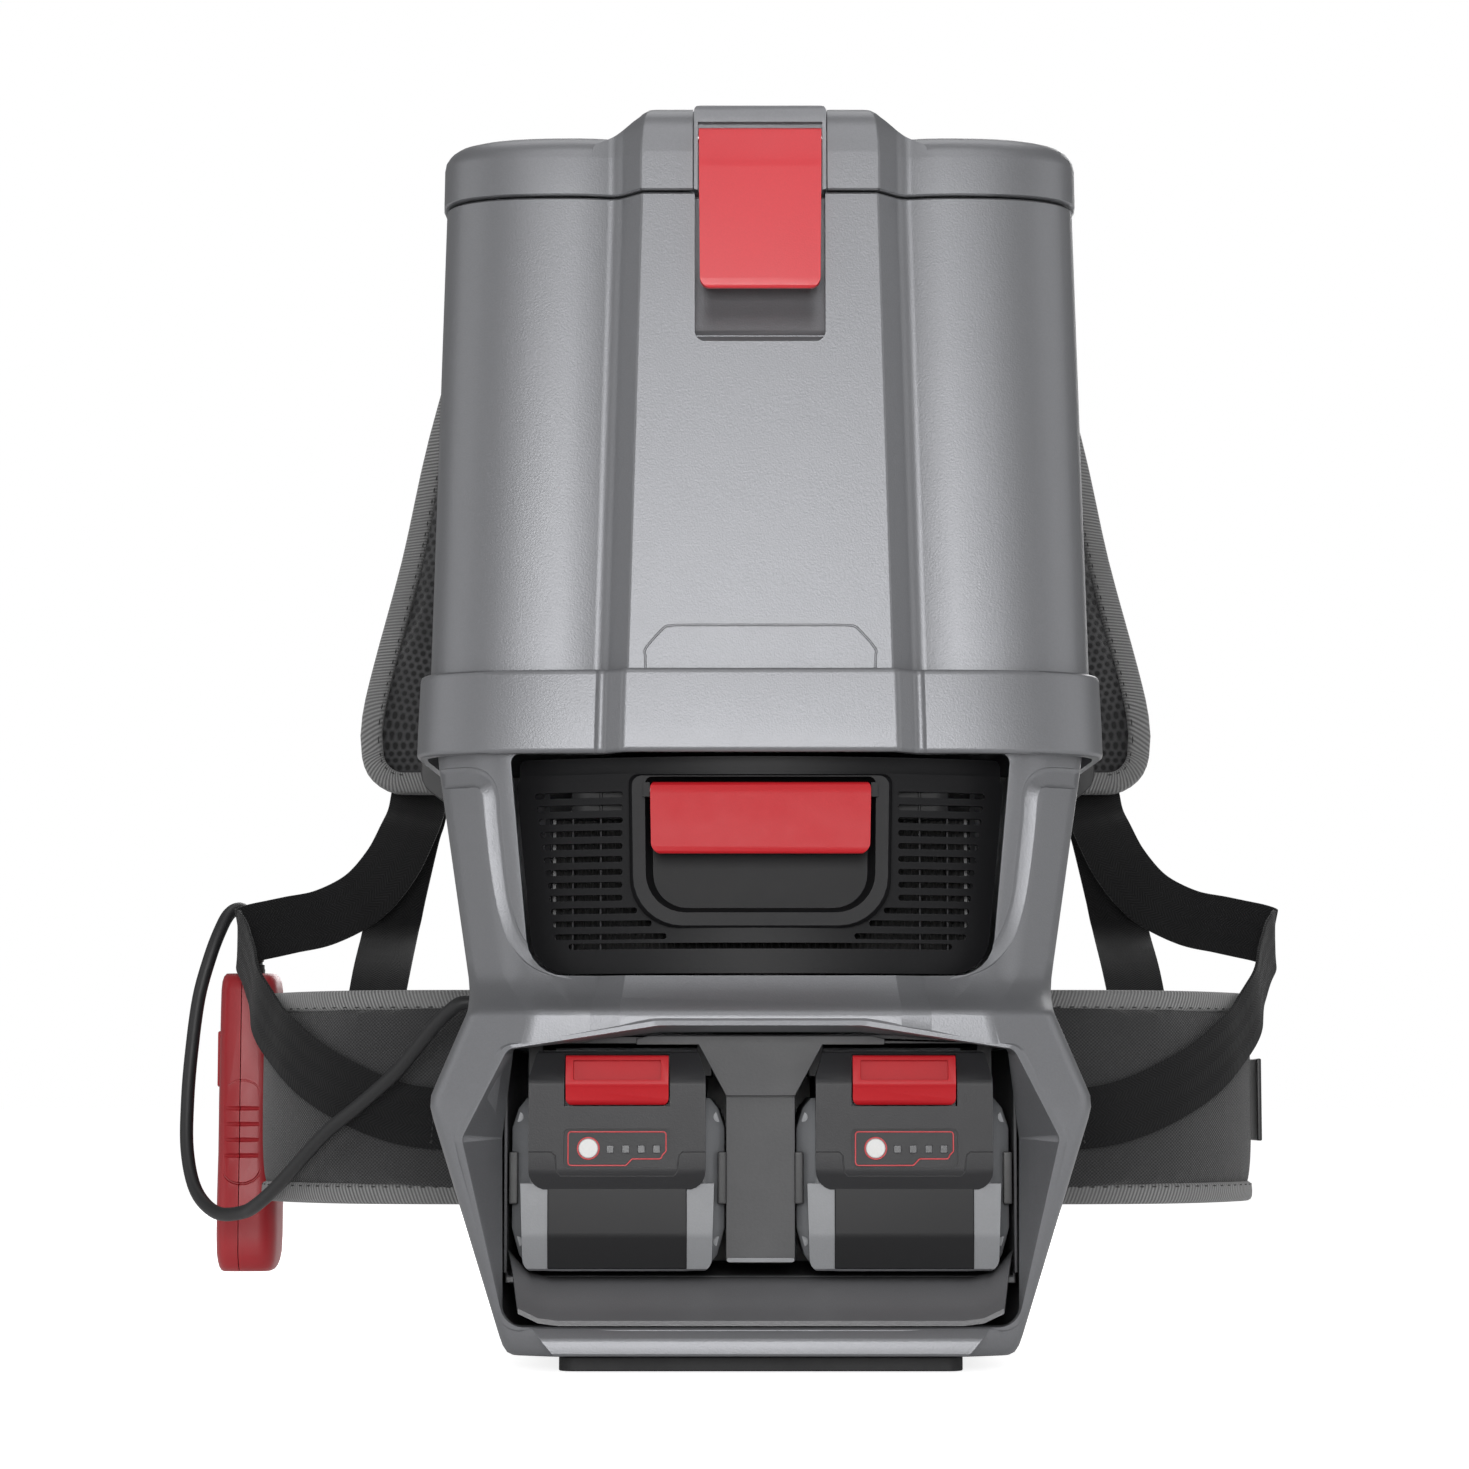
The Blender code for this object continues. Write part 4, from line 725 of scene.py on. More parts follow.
def band():
    """The deep collar band round the joint of housing and canister."""
    low, high = BAND_Z
    rows = [(low, 0.003), (low + 0.0008, 0.004), (low + 0.002, 0.0044), (low + 0.012, 0.0043)]
    rows += [(high - 0.0022, 0.004), (high - 0.0008, 0.0036), (high, 0.0026)]
    outer = []
    for z, out in rows:
        half, panel, front, step, _ = between(CAN, z)
        edge = front - out
        side = edge + step
        crest = (panel + 0.0125, side - 0.0034)
        corners = [
            (panel + 0.0015, edge, 0.004), (panel + 0.01, side - 0.0015, 0.0036), (*crest, 0.0022),
            *lobe_curve(crest[0], half + out, crest[1], 0.0374), (half + out - 0.004, BACK - GAP, 0.018),
        ]
        outer.append([(x, y, z) for x, y in symmetric(corners, 8)])
    inner = [can_level(z, -GAP) for z in (low - 0.01, high + 0.01)]
    edged("band_shell", csg(loft(outer), ("-", loft(inner))), "grey", "machine", "collar_band")


# ------------------------------------------------------------------ lid and latch
def lid():
    """The lid: a crowned skin, its middle ridge, the hose port and the hinge's eyes."""
    sizes = between(CAN, SEAM_Z)
    rows = [(SEAM_Z + GAP, -0.0004), (0.48, -0.0012), (0.495, -0.001), (0.4985, -0.0004), (0.5015, 0.0012)]
    rows += [(0.5038, 0.0036), (0.5052, 0.0066), (0.5059, 0.01), (LID_TOP, 0.014)]
    spine = [(-0.12, 0.482), (-0.12, 0.516), (0.055, 0.516), (0.062, 0.512)]
    spine += [(0.07, 0.503), (0.07, 0.482)]
    ramp = [(0.044, 0.5168, 0.004), (0.05, 0.5115, 0.004), (0.06, 0.505, 0.01), (0.069, 0.5005, 0.003)]
    ramp += [(0.07, 0.481, 0)]
    brow = [
        (0.4805, -0.0006), (0.495, -0.0009), (0.501, -0.0004), (0.506, 0.0004), (0.51, 0.002),
        (0.513, 0.0044),
    ]
    brow += [(0.515, 0.0075), (0.5161, 0.011), (0.517, 0.015)]
    ridge = csg(
        *carved(spine, 0.08, symmetric(ramp, 8), (-0.13, 0.08)),
        ("&", loft([level(z, *sizes, inset=i) for z, i in brow])),
    )
    bm = csg(
        loft([level(z, *sizes, inset=i) for z, i in rows]),
        ("+", ridge),
        ("-", loft([level(z, *sizes, inset=0.0027) for z in (0.463, 0.502)])),
        ("-", box((-0.046, -0.084, 0.463), (0.046, 0.052, 0.513))),
        ("-", box((-0.0277, -0.12, 0.463), (0.0277, -0.0895, 0.517))),
        ("+", box((-0.031, -0.09, SEAM_Z + GAP), (0.031, -0.0875, 0.513))),
        ("+", cylinder((0, PORT_Y, 0.518), 0.0275, 0.016, sides=64)),
        ("-", cylinder((0, PORT_Y, 0.528), 0.0225, 0.022, sides=64)),
        ("-", cylinder((0, PORT_Y, 0.503), 0.0175, 0.06, sides=64)),
        *knuckles(0.02, 0.045, 0.0725, False),
    )
    edged("lid_top_shell", bm, "grey", "lid", "lid_shell", width=0.0007)


def latch():
    """The red lever that holds the lid, with its hook."""
    profile = [(-0.106, 0.5046), (-0.1042, 0.5046), (-0.1, 0.503), (-0.0993, 0.501), (-0.0995, 0.499)]
    profile += [(-0.103, 0.4965), (-0.1058, 0.49), (-0.1062, 0.486), (-0.1066, 0.443), (-0.1072, 0.438)]
    profile += [(-0.108, 0.4371), (-0.1102, 0.437), (-0.111, 0.438), (-0.1112, 0.441), (-0.1108, 0.487)]
    profile += [(-0.1103, 0.4915), (-0.1088, 0.4975), (-0.1078, 0.501), (-0.1074, 0.5036)]
    face = symmetric([(0.0252, 0.506, 0.0015), (0.0246, 0.437, 0.0045)], 8)
    bm = csg(
        *carved(profile, 0.0252, face),
        ("+", box((-0.012, -0.107, 0.463), (0.012, -0.1, 0.466))),
        ("-", cylinder(LATCH_PIVOT, PIN_BORE, 0.08, "x", 20)),
    )
    edged("latch_lever", bm, "red", "latch", "lid_latch", width=0.0008, segments=3, angle=40)


def latch_mount():
    """The boss that holds the latch's pin, with a rounded crown."""
    front, back, foot = -0.1034, -0.0904, 0.4796
    crown = symmetric([(0.0272, 0.5156, 0.003), (0.0272, foot, 0.0008)])
    profile = [
        (front, foot), (front, 0.5126), (-0.1024, 0.5148), (-0.1004, 0.5156), (back, 0.5156), (back, foot),
    ]
    bm = csg(
        prism(crown, front, back),
        ("&", prism(profile, -0.04, 0.04, "x")),
        ("-", box((-0.0256, -0.12, 0.463), (0.0256, -0.0988, 0.508))),
        ("-", cylinder(LATCH_PIVOT, PIN_BORE, 0.08, "x", 20)),
    )
    edged("mount_boss", bm, "grey", "lid", "latch_mount", width=0.0005)


housing()
latch_mount()
canister()
band()
lid()
latch()

# ------------------------------------------------------------------ filter door, filter and tab
def door_face(x):
    return DOOR_PIVOT[1] + 2.2 * x * x


def slot_rows():
    """Height, inner end and outer end of each row of air slots, on the +X side."""
    for k in range(12):
        z = 0.2311 - 0.00526 * k
        outer = 0.0922 - 0.0086 * (0.2311 - z) / 0.06
        inner = 0.056 if k < 9 else 0.056 - 0.006 * (k - 8)
        yield z, inner, outer


def door_plate(low_y, high_y, half):
    """The bowed plate: a rounded outline cut from a bent slab."""
    rings = []
    for x in np.linspace(-0.104, 0.104, 41):
        low, high = door_face(x) + low_y, door_face(x) + high_y
        rings.append([(x, low, 0.15), (x, high, 0.15), (x, high, 0.25), (x, low, 0.25)])
    return csg(loft(rings), ("&", prism(symmetric(half, 8), -0.13, -0.05)))


def slot_cutter():
    """All the air slots, and the long one under the handle's pocket."""
    slots = []
    for z, inner, outer in slot_rows():
        for side in SIDES.values():
            ends = [(side * outer, z - 0.0012, 0.0011), (side * outer, z + 0.0012, 0.0011)]
            ends += [(side * inner, z + 0.0012, 0.0011), (side * inner, z - 0.0012, 0.0011)]
            slots.append(prism(rounded(ends, 4), -0.13, -0.06))
    slots.append(prism(symmetric([(0.079, 0.1705, 0.0011), (0.0775, 0.1681, 0.0011)], 4), -0.13, -0.06))
    return gather(*slots)


def stepped(*edges):
    """A skin through symmetric outlines in (x, z), each at its own place in y."""
    return loft([[(x, y, z) for x, z in symmetric(half, 8)] for half, y in edges])


def filter_door():
    """The black door with its air slots, the raised U round the handle's pocket and the filter's tray."""
    outer = [(0.0535, 0.2388, 0.004), (0.0525, 0.1765, 0.02)]
    inner = [(0.0468, 0.2376, 0.003), (0.0462, 0.1826, 0.016)]
    base = [(0.044, 0.235, 0.003), (0.0435, 0.185, 0.014)]
    dish = stepped((inner, -0.12), (inner, -0.1), (base, -0.089))
    rim = stepped((outer, -0.087), (outer, -0.1), (grown(outer, -0.0016, 0.208, 0), -0.1022))
    ring = csg(
        box((-0.088, -0.0975, 0.1645), (0.088, -0.0785, 0.2355)),
        ("-", box((-0.086, -0.12, 0.1665), (0.086, -0.05, 0.234))),
        ("+", box((-0.0865, -0.0868, 0.2238), (0.0865, -0.085, 0.2345))),
    )
    rings = []
    for x in np.linspace(-0.1, 0.1, 21):
        behind = door_face(x) + 0.002
        rings.append([(x, -0.13, 0.15), (x, behind, 0.15), (x, behind, 0.26), (x, -0.13, 0.26)])
    bm = csg(
        door_plate(0.0, 0.0035, [(0.1005, 0.2395, 0.0045), (0.0922, 0.1582, 0.016)]),
        # The upper black flange fills the strip under the band: a dark sheet that paints the band's shadow on
        # the housing.
        ("+", door_plate(0.003, 0.005, [(0.099, 0.2464, 0.003), (0.099, 0.234, 0)])),
        ("-", slot_cutter()),
        ("+", csg(ring, ("-", loft(rings)))),
        ("+", rim),
        ("-", dish),
        ("+", gather(*box_pair(0.04605, 0.00135, (-0.1052, -0.099), (0.2292, 0.235)))),
        ("-", cylinder(TAB_PIVOT, PIN_BORE, 0.12, "x", 16)),
    )
    edged("door_panel", bm, "door", "door", "filter_door", width=0.0004, angle=40)
    bars = []
    for x in (0.0765, 0.065):
        y = door_face(x) + 0.003
        bars += [soften(bar, 0.0003, 1) for bar in box_pair(x, 0.0006, (y, y + 0.003), (0.1672, 0.234))]
    piece("door_ribs", gather(*bars), "door", "door")


def hepa():
    """The pleated pack in its frame."""
    half, front, back = 0.0835, -0.078, -0.066
    folds = [(x, front + (0.006 if k % 2 else 0)) for k, x in enumerate(np.linspace(-half, half, 111))]
    outline = folds + [(half, back), (-half, back)]
    piece("hepa_pleats", prism(outline, 0.168, 0.222, "z"), "pleats", "door", smooth_angle=20)
    bm = csg(
        box((-0.0855, -0.078, 0.166), (0.0855, -0.056, 0.224)),
        ("-", box((-0.0832, -0.09, 0.1685), (0.0832, -0.06, 0.2215))),
    )
    edged("hepa_frame", bm, "black", "door", "hepa_cartridge")


def pull_tab():
    """The red tab hinged on the door."""
    y = TAB_PIVOT[1]
    profile = [(-0.003, 0.235), (0.001, 0.2352), (0.0022, 0.2345), (0.003, 0.23), (-0.001, 0.227)]
    profile += [(-0.0022, 0.21), (-0.0022, 0.2068), (-0.003, 0.206), (-0.0062, 0.206), (-0.007, 0.2068)]
    profile += [(-0.0073, 0.209), (-0.006, 0.23), (-0.0052, 0.2336), (-0.0042, 0.2346)]
    face = symmetric([(0.0446, 0.2362, 0.004), (0.044, 0.2058, 0.0046)], 8)
    bm = csg(
        *carved([(y + a, z) for a, z in profile], 0.0446, face),
        ("-", cylinder(TAB_PIVOT, PIN_BORE, 0.12, "x", 16)),
    )
    edged("tab_paddle", bm, "tab", "door_tab", "pull_tab", width=0.0007, segments=3, angle=40)


# ------------------------------------------------------------------ batteries
BATTERY_X = 0.0575
GAUGE_Z = 0.0877


def battery(name, x):
    """A slide-in pack: grey shells and wings, a black cap with a gauge, a black label face."""
    body = f"battery_{name}"

    def at(bm):
        return placed(bm, Vector((x, 0, 0)))

    wings = []
    for z, half in (
        (0.039, 0.035), (0.045, 0.04), (0.056, 0.043), (0.096, 0.043), (0.104, 0.0404), (0.108, 0.0372),
    ):
        corners = [(half - 0.0078, -0.0975, 0.001), (half, -0.088, 0.0025), (half, 0.03, 0.003)]
        wings.append([(px, py, z) for px, py in symmetric(corners, 4)])
    nose = [(-0.09, 0.0392), (-0.099, 0.0392), (-0.1004, 0.04), (-0.1022, 0.052), (-0.1024, 0.0545)]
    nose += [(-0.1024, 0.074), (-0.09, 0.074)]
    nose_face = symmetric([(0.0389, 0.076, 0.001), (0.0378, 0.0385, 0.0055)])
    front = csg(*carved(nose, 0.0389, nose_face, (-0.12, -0.08)))
    screws = [(side * 0.0404, -0.0925, z) for side in (-1, 1) for z in (0.0505, 0.1005)]
    pockets = [cylinder(screw, 0.0021, 0.006, "y", 20) for screw in screws]
    case = csg(
        loft(wings),
        ("+", front),
        ("-", gather(*pockets)),
        ("-", gather(*box_pair(0.0432, 0.0012, (-0.084, 0.02), (0.062, 0.0632)))),
        ("-", box((-0.0215, -0.12, 0.104), (0.0215, -0.0915, 0.12))),
    )
    edged(f"battery_shell_{name}", at(case), "shell", body, f"battery_case_{name}")

    skin = [(-0.0985, 0.0398), *[(py - 0.0007, z) for py, z in nose[2:6]], (-0.1, 0.074)]
    label = prism(skin, -0.0279, 0.0279, "x")
    edged(f"battery_label_{name}", at(label), "led_black", body, width=0.0004)

    grips = [soften(grip, 0.0008) for grip in box_pair(0.042, 0.0018, (-0.095, -0.07), (0.0655, 0.0865))]
    piece(f"battery_grips_{name}", at(gather(*grips)), "black", body)

    crown = prism(mirrored([(0.035, 0.1084), (0.0352, 0.1165), (0.0318, 0.127)]), -0.0965, 0.029)
    apron = [(-0.096, 0.0716), (-0.103, 0.0716), (-0.1058, 0.0776), (-0.1063, 0.08), (-0.1063, 0.113)]
    apron += [(-0.1058, 0.1152), (-0.104, 0.118), (-0.099, 0.1262), (-0.096, 0.127)]
    apron_face = symmetric([(0.0322, 0.1275, 0.003), (0.0354, 0.1165, 0.006), (0.0354, 0.0714, 0.0075)])
    rails = box_pair(0.0345, 0.0036, (-0.0706, 0.06), (0.1165, 0.14))
    gauge = symmetric([(0.0214, 0.0958, 0.0022), (0.0214, 0.08, 0.0022)], 5)
    bm = csg(
        crown,
        ("+", csg(*carved(apron, 0.0354, apron_face, (-0.12, -0.09)))),
        ("-", gather(*rails, box((-0.0212, -0.12, 0.1048), (0.0212, -0.094, 0.1256)))),
        ("-", prism(gauge, -0.12, -0.105)),
        ("-", battery_line()),
        ("-", cylinder((-0.0115, -0.104, 0.088), 0.0044, 0.008, "y", 32)),
    )
    edged(f"battery_hood_{name}", at(bm), "cap", body, f"battery_cap_{name}")

    notched = [
        (-0.0196, 0.0946), (0.0196, 0.0946), (0.0196, 0.0868), (0.018, 0.0852), (0.018, 0.0838),
        (0.006, 0.0838),
    ]
    notched += [(0.0036, 0.0812), (-0.0196, 0.0812)]
    loop = [(px, -0.1052, pz) for px, pz in rounded([(px, pz, 0.0012) for px, pz in notched], 3)]
    ring = [(-0.0115 + 0.0043 * math.cos(t), -0.1052, 0.088 + 0.0043 * math.sin(t)) for t in turns(32)]
    line = gather(
        ribbon_tube(loop, 0.00028, 0.00035, 6, closed=True), ribbon_tube(
            ring, 0.00028, 0.0004, 6, closed=True,
        )
    )
    piece(f"battery_gauge_line_{name}", at(line), "red", body)
    cells = []
    for middle in (-0.0028, 0.0035, 0.0097, 0.0158):
        low = (middle - 0.0015, -0.1056, GAUGE_Z - 0.0016)
        cells.append(soften(box(low, (middle + 0.0015, -0.1048, GAUGE_Z + 0.0016)), 0.0002, 1))
    piece(f"battery_gauge_cells_{name}", at(gather(*cells)), "led", body)
    edged(
        f"release_{name}", at(release()), "tab", f"release_{name}", f"battery_latch_{name}", width=0.0005,
        segments=3,
    )


def battery_line():
    """The parting line of the cap: in from both sides, and down round the gauge."""
    run = [
        (0.037, 0.0866), (0.0262, 0.0866), (0.0248, 0.0852), (0.024, 0.0784), (0.0226, 0.077),
        (-0.0226, 0.077),
    ]
    run += [(-0.024, 0.0784), (-0.0248, 0.0852), (-0.0262, 0.0866), (-0.037, 0.0866)]
    return ribbon_tube([(x, -0.1063 if z > 0.078 else -0.1058, z) for x, z in run], 0.0003, 0.0005, 6)


def release():
    """The red release: a framed finger cup over a plain face."""
    profile = [(-0.105, 0.1053), (-0.1066, 0.1072), (-0.1074, 0.1118), (-0.1083, 0.1128), (-0.1085, 0.114)]
    profile += [(-0.106, 0.1244), (-0.1054, 0.125), (-0.0995, 0.1252), (-0.0988, 0.1246), (-0.0988, 0.1053)]
    face = symmetric([(0.0206, 0.1256, 0.0012), (0.0206, 0.105, 0.003)])
    cup = [(-0.12, 0.1152), (-0.12, 0.1232), (-0.1035, 0.1232), (-0.105, 0.1152)]
    mouth = symmetric([(0.0176, 0.1236, 0.0012), (0.0176, 0.115, 0.0012)], 4)
    return csg(*carved(profile, 0.0206, face, (-0.12, -0.09)), ("-", csg(*carved(cup, 0.0176, mouth))))


plastic("door", (0.009, 0.009, 0.01), 0.46, grain=0.3, edge_wear_and_highlight=0.3, cloud=0.005, Specular_IOR_Level=0.2)
plastic("cap", (0.024, 0.024, 0.026), 0.42, grain=0.5, edge_wear_and_highlight=0.25, cloud=0.01, Specular_IOR_Level=0.3)
plastic("led_black", (0.007, 0.007, 0.008), 0.34, grain=0.1, edge_wear_and_highlight=0.1, cloud=0.005, Specular_IOR_Level=0.22)
filter_door()
hepa()
pull_tab()
for NAME, SIDE in SIDES.items():
    battery(NAME, SIDE * BATTERY_X)

# ------------------------------------------------------------------ webbing
WEBBING = 0.028
SWELL_FRAMES = 20
PUFF_CAP = 0.004
STITCH_EVERY = 0.0032
TENSION = [
    ((0.1165, 0.0846, 0.0975), (0, 0, 1)), ((0.151, 0.0862, 0.0992), (0, 0, 1)),
    ((0.171, 0.0902, 0.104), (0, 0, 1)), ((0.19, 0.0975, 0.1125), (0, 0, 1)),
    ((0.2045, 0.1072, 0.121), (0, 0, 1)), ((0.2165, 0.1185, 0.131), (0, 0, 1)),
    ((0.2255, 0.131, 0.14), (0, 0, 1)), ((0.234, 0.1445, 0.153), (0, 0, 1)),
    ((0.239, 0.16, 0.166), (0, 0, 1)), ((0.244, 0.175, 0.176), (0, 0, 1)),
    ((0.2485, 0.187, 0.183), (0, 0, 1)), ((0.249, 0.194, 0.185), (0, 0, 1)),
    ((0.2435, 0.199, 0.1875), (0.05, 0, 1)), ((0.234, 0.205, 0.19), (0.1, 0, 1)),
    ((0.226, 0.2115, 0.1922), (0.2, 0, 1)), ((0.2128, 0.223, 0.1958), (0.3, 0, 1)),
    ((0.198, 0.226, 0.203), (0.6, 0, 0.8)), ((0.188, 0.225, 0.211), (0.8, 0, 0.6)),
    ((0.1785, 0.227, 0.224), (0.95, 0, 0.4)), ((0.1725, 0.238, 0.239), (1, 0, 0.3)),
    ((0.17, 0.252, 0.249), (1, 0, 0.2)), ((0.1692, 0.2622, 0.259), (1, 0, 0.2)),
    ((0.1675, 0.264, 0.271), (1, 0, 0.2)), ((0.166, 0.264, 0.283), (1, 0, 0.2)),
]
LOWER = [
    ((0.166, 0.267, 0.29), (1, 0, 0.2)), ((0.1675, 0.2672, 0.266), (1, 0, 0.15)),
    ((0.17, 0.2674, 0.249), (1, 0, 0.1)), ((0.1728, 0.261, 0.237), (1, 0, 0.1)),
    ((0.178, 0.244, 0.206), (1, 0, 0)), ((0.1807, 0.234, 0.188), (1, 0, 0)),
    ((0.1797, 0.175, 0.164), (1, 0.1, 0)), ((0.183, 0.133, 0.118), (1, 0.42, 0)),
    ((0.183, 0.1225, 0.1), (1, 0.52, 0)), ((0.183, 0.12, 0.082), (1, 0.55, 0)),
]
WAIST = [
    (0.2108, 0.224), (0.203, 0.242), (0.193, 0.258), (0.175, 0.274), (0.14, 0.289),
    (0.1, 0.2985), (0.089, 0.2996), (0.078, 0.3), (0.055, 0.3), (0.03, 0.3),
]
BELT_Z = (0.06, 0.157)
WING = [
    (0.118, 0.0935), (0.15, 0.0955), (0.184, 0.1045), (0.207, 0.122), (0.2235, 0.145), (0.2272, 0.164),
    (0.219, 0.186), (0.209, 0.208), (0.1985, 0.23),
]
SHOULDER = [
    ((0.06, 0.109, 0.395), (1, 0, 0), 0.8), ((0.062, 0.124, 0.44), (1, 0, 0), 0.9),
    ((0.072, 0.152, 0.482), (1, 0.1, 0), 1.0), ((0.091, 0.195, 0.5), (1, 0.2, 0), 1.0),
    ((0.111, 0.233, 0.482), (1, 0.3, -0.1), 1.0), ((0.1285, 0.25, 0.43), (1, 0.2, 0.2), 1.0),
    ((0.141, 0.254, 0.37), (1, 0.1, 0.2), 1.0), ((0.1555, 0.253, 0.312), (1, 0, 0.2), 1.0),
    ((0.161, 0.252, 0.29), (1, 0, 0.15), 0.97), ((0.1615, 0.2518, 0.277), (1, 0, 0.1), 0.91),
    ((0.1615, 0.2515, 0.266), (1, 0, 0.05), 0.7), ((0.1615, 0.251, 0.259), (1, 0, 0), 0.32),
]


def to_side(stations, side):
    """Stations drawn for the right side, for either side, at full width where they give no share."""
    made = []
    for (x, y, z), (a, b, c), *share in stations:
        made.append(((side * x, y, z), (side * a, b, c), share[0] if share else 1))
    return made


def upright(points, z):
    return [((x, y, z), (0, 0, 1)) for x, y in points]


class Lane:
    """A band in space: along its middle line, across it, and out of its face."""

    def __init__(self, stations, width):
        self.width = width
        self.centres = [Vector(c) for c, _, _ in stations]
        self.shares = [share for _, _, share in stations]
        self.across, self.out, self.along = [], [], [0.0]
        for i, (_, across, _) in enumerate(stations):
            ahead = heading(self.centres, i)
            across = Vector(across)
            across = (across - ahead * (across.dot(ahead) / ahead.length_squared)).normalized()
            self.across.append(across)
            self.out.append(ahead.cross(across).normalized())
        for a, b in zip(self.centres, self.centres[1:]):
            self.along.append(self.along[-1] + (b - a).length)
        self.length = self.along[-1]

    def at(self, u, v, w):
        """The point at a distance along, across and out."""
        u = min(max(u, 0.0), self.length)
        i = min(max(int(np.searchsorted(self.along, u)) - 1, 0), len(self.along) - 2)
        t = (u - self.along[i]) / (self.along[i + 1] - self.along[i])
        centre = self.centres[i].lerp(self.centres[i + 1], t)
        across = self.across[i].lerp(self.across[i + 1], t)
        out = self.out[i].lerp(self.out[i + 1], t)
        return centre + across * v + out * w

    def half(self, u):
        """Half the band's width at a distance along."""
        return float(np.interp(u, self.along, self.shares)) * self.width / 2

    def nearest(self, point):
        """The distances along, across and out of a point."""
        best = None
        for i in range(len(self.centres) - 1):
            a, b = self.centres[i], self.centres[i + 1]
            run = b - a
            t = min(max((point - a).dot(run) / run.length_squared, 0), 1)
            gap = (point - a - run * t).length
            if best is None or gap < best[0]:
                best = (gap, i, t)
        _, i, t = best
        away = point - self.centres[i].lerp(self.centres[i + 1], t)
        across = self.across[i].lerp(self.across[i + 1], t)
        out = self.out[i].lerp(self.out[i + 1], t)
        return self.along[i] + t * (self.along[i + 1] - self.along[i]), away.dot(across), away.dot(out)


def weave_map(bm, spot):
    """A UV map in metres, from what spot says of each vertex."""
    bm.verts.index_update()
    layer = bm.loops.layers.uv.new("weave")
    for face in bm.faces:
        for loop in face.loops:
            loop[layer].uv = spot(loop.vert)
    return bm


def band_mesh(lane, thickness):
    """A woven band: rounded selvedges, a slightly fuller middle, mapped in metres."""
    right = [(0.5, 0.92), (0.93, 1.0), (0.985, 0.8), (1, 0)]
    face = [(-a, b) for a, b in reversed(right)] + [(0, 0.95)] + right
    edge = face + [(a, -b) for a, b in reversed(face[1:-1])]
    rings, spots = [], []
    for u in lane.along:
        half = lane.half(u)
        rings.append([lane.at(u, a * half, b * thickness / 2) for a, b in edge])
        spots += [(u, a * half) for a, _ in edge]
    return weave_map(loft(rings), lambda vert: spots[vert.index])


def stitches(lane, spots, size=0.0019):
    """Thread dashes at (along, across, out, turn) places, each a small closed bead."""
    made = []
    for u, v, w, turn in spots:
        ahead = Vector((math.cos(turn), math.sin(turn)))
        beads = []
        for t, r in ((-1, 0.15), (-0.7, 0.8), (0, 1), (0.7, 0.8), (1, 0.15)):
            middle = (u + ahead.x * t * size / 2, v + ahead.y * t * size / 2)
            ring = []
            for spin in turns(6):
                side, rise = math.cos(spin) * 0.00033 * r, math.sin(spin) * 0.0003 * r
                ring.append(lane.at(middle[0] - ahead.y * side, middle[1] + ahead.x * side, w + rise))
            beads.append(ring)
        made.append(loft(beads))
    return gather(*made)


def webbing(name, stations, *nodes, thickness=0.0016, joins=()):
    """A piece of webbing. Each join has two rows of stitches and a cross between them."""
    lane = Lane(smooth(stations, 7), WEBBING)
    piece(name, band_mesh(lane, thickness), "webbing", "machine", *nodes, smooth_angle=60)
    reach, faces = 0.0105, (-0.0009, 0.0009)
    dashes = []
    for start, end in joins:
        for u in (start, end):
            dashes += [(u, v, w, math.pi / 2) for v in np.linspace(-reach, reach, 8) for w in faces]
        slant = math.atan2(2 * reach, end - start)
        for u in np.linspace(start, end, 7):
            share = (u - start) / (end - start) * 2 - 1
            dashes += [(u, hand * share * reach, w, hand * slant) for hand in (-1, 1) for w in faces]
    if dashes:
        piece(f"{name}_stitches", stitches(lane, dashes), "thread", "machine")


# ------------------------------------------------------------------ pads
def puffed(name, bm, cap, voxel=0.0045):
    """A padded form: remeshed, swelled as cloth with a cap on its travel, and subdivided."""
    obj = scratch(bm)
    obj.name = name
    remesh = obj.modifiers.new("remesh", "REMESH")
    remesh.mode = "VOXEL"
    remesh.voxel_size = voxel
    settle(obj)
    start = np.empty(len(obj.data.vertices) * 3)
    obj.data.vertices.foreach_get("co", start)
    cloth = obj.modifiers.new("swell", "CLOTH")
    cloth.settings.use_pressure = True
    cloth.settings.uniform_pressure_force = 3.5
    cloth.settings.effector_weights.gravity = 0
    cloth.settings.quality = 4
    cloth.settings.tension_stiffness = 12
    cloth.settings.bending_stiffness = 0.6
    cloth.point_cache.frame_start = 1
    cloth.point_cache.frame_end = SWELL_FRAMES
    scene = bpy.context.scene
    for number in range(1, SWELL_FRAMES + 1):
        scene.frame_set(number)
    settle(obj)
    scene.frame_set(1)
    moved = np.empty_like(start)
    obj.data.vertices.foreach_get("co", moved)
    shift = (moved - start).reshape(-1, 3)
    far = np.linalg.norm(shift, axis=1, keepdims=True)
    shift *= np.minimum(1.0, cap / np.maximum(far, 1e-9))
    obj.data.vertices.foreach_set("co", (start.reshape(-1, 3) + shift).ravel())
    obj.modifiers.new("relax", "SMOOTH").iterations = 2
    obj.modifiers.new("more", "SUBSURF").levels = 1
    settle(obj)
    out = bmesh.new()
    mesh = obj.data
    out.from_mesh(mesh)
    bpy.data.objects.remove(obj)
    bpy.data.meshes.remove(mesh)
    return out


def settle(obj):
    """Applies a piece's modifiers."""
    mesh = bpy.data.meshes.new_from_object(obj.evaluated_get(bpy.context.evaluated_depsgraph_get()))
    old = obj.data
    obj.modifiers.clear()
    obj.data = mesh
    bpy.data.meshes.remove(old)


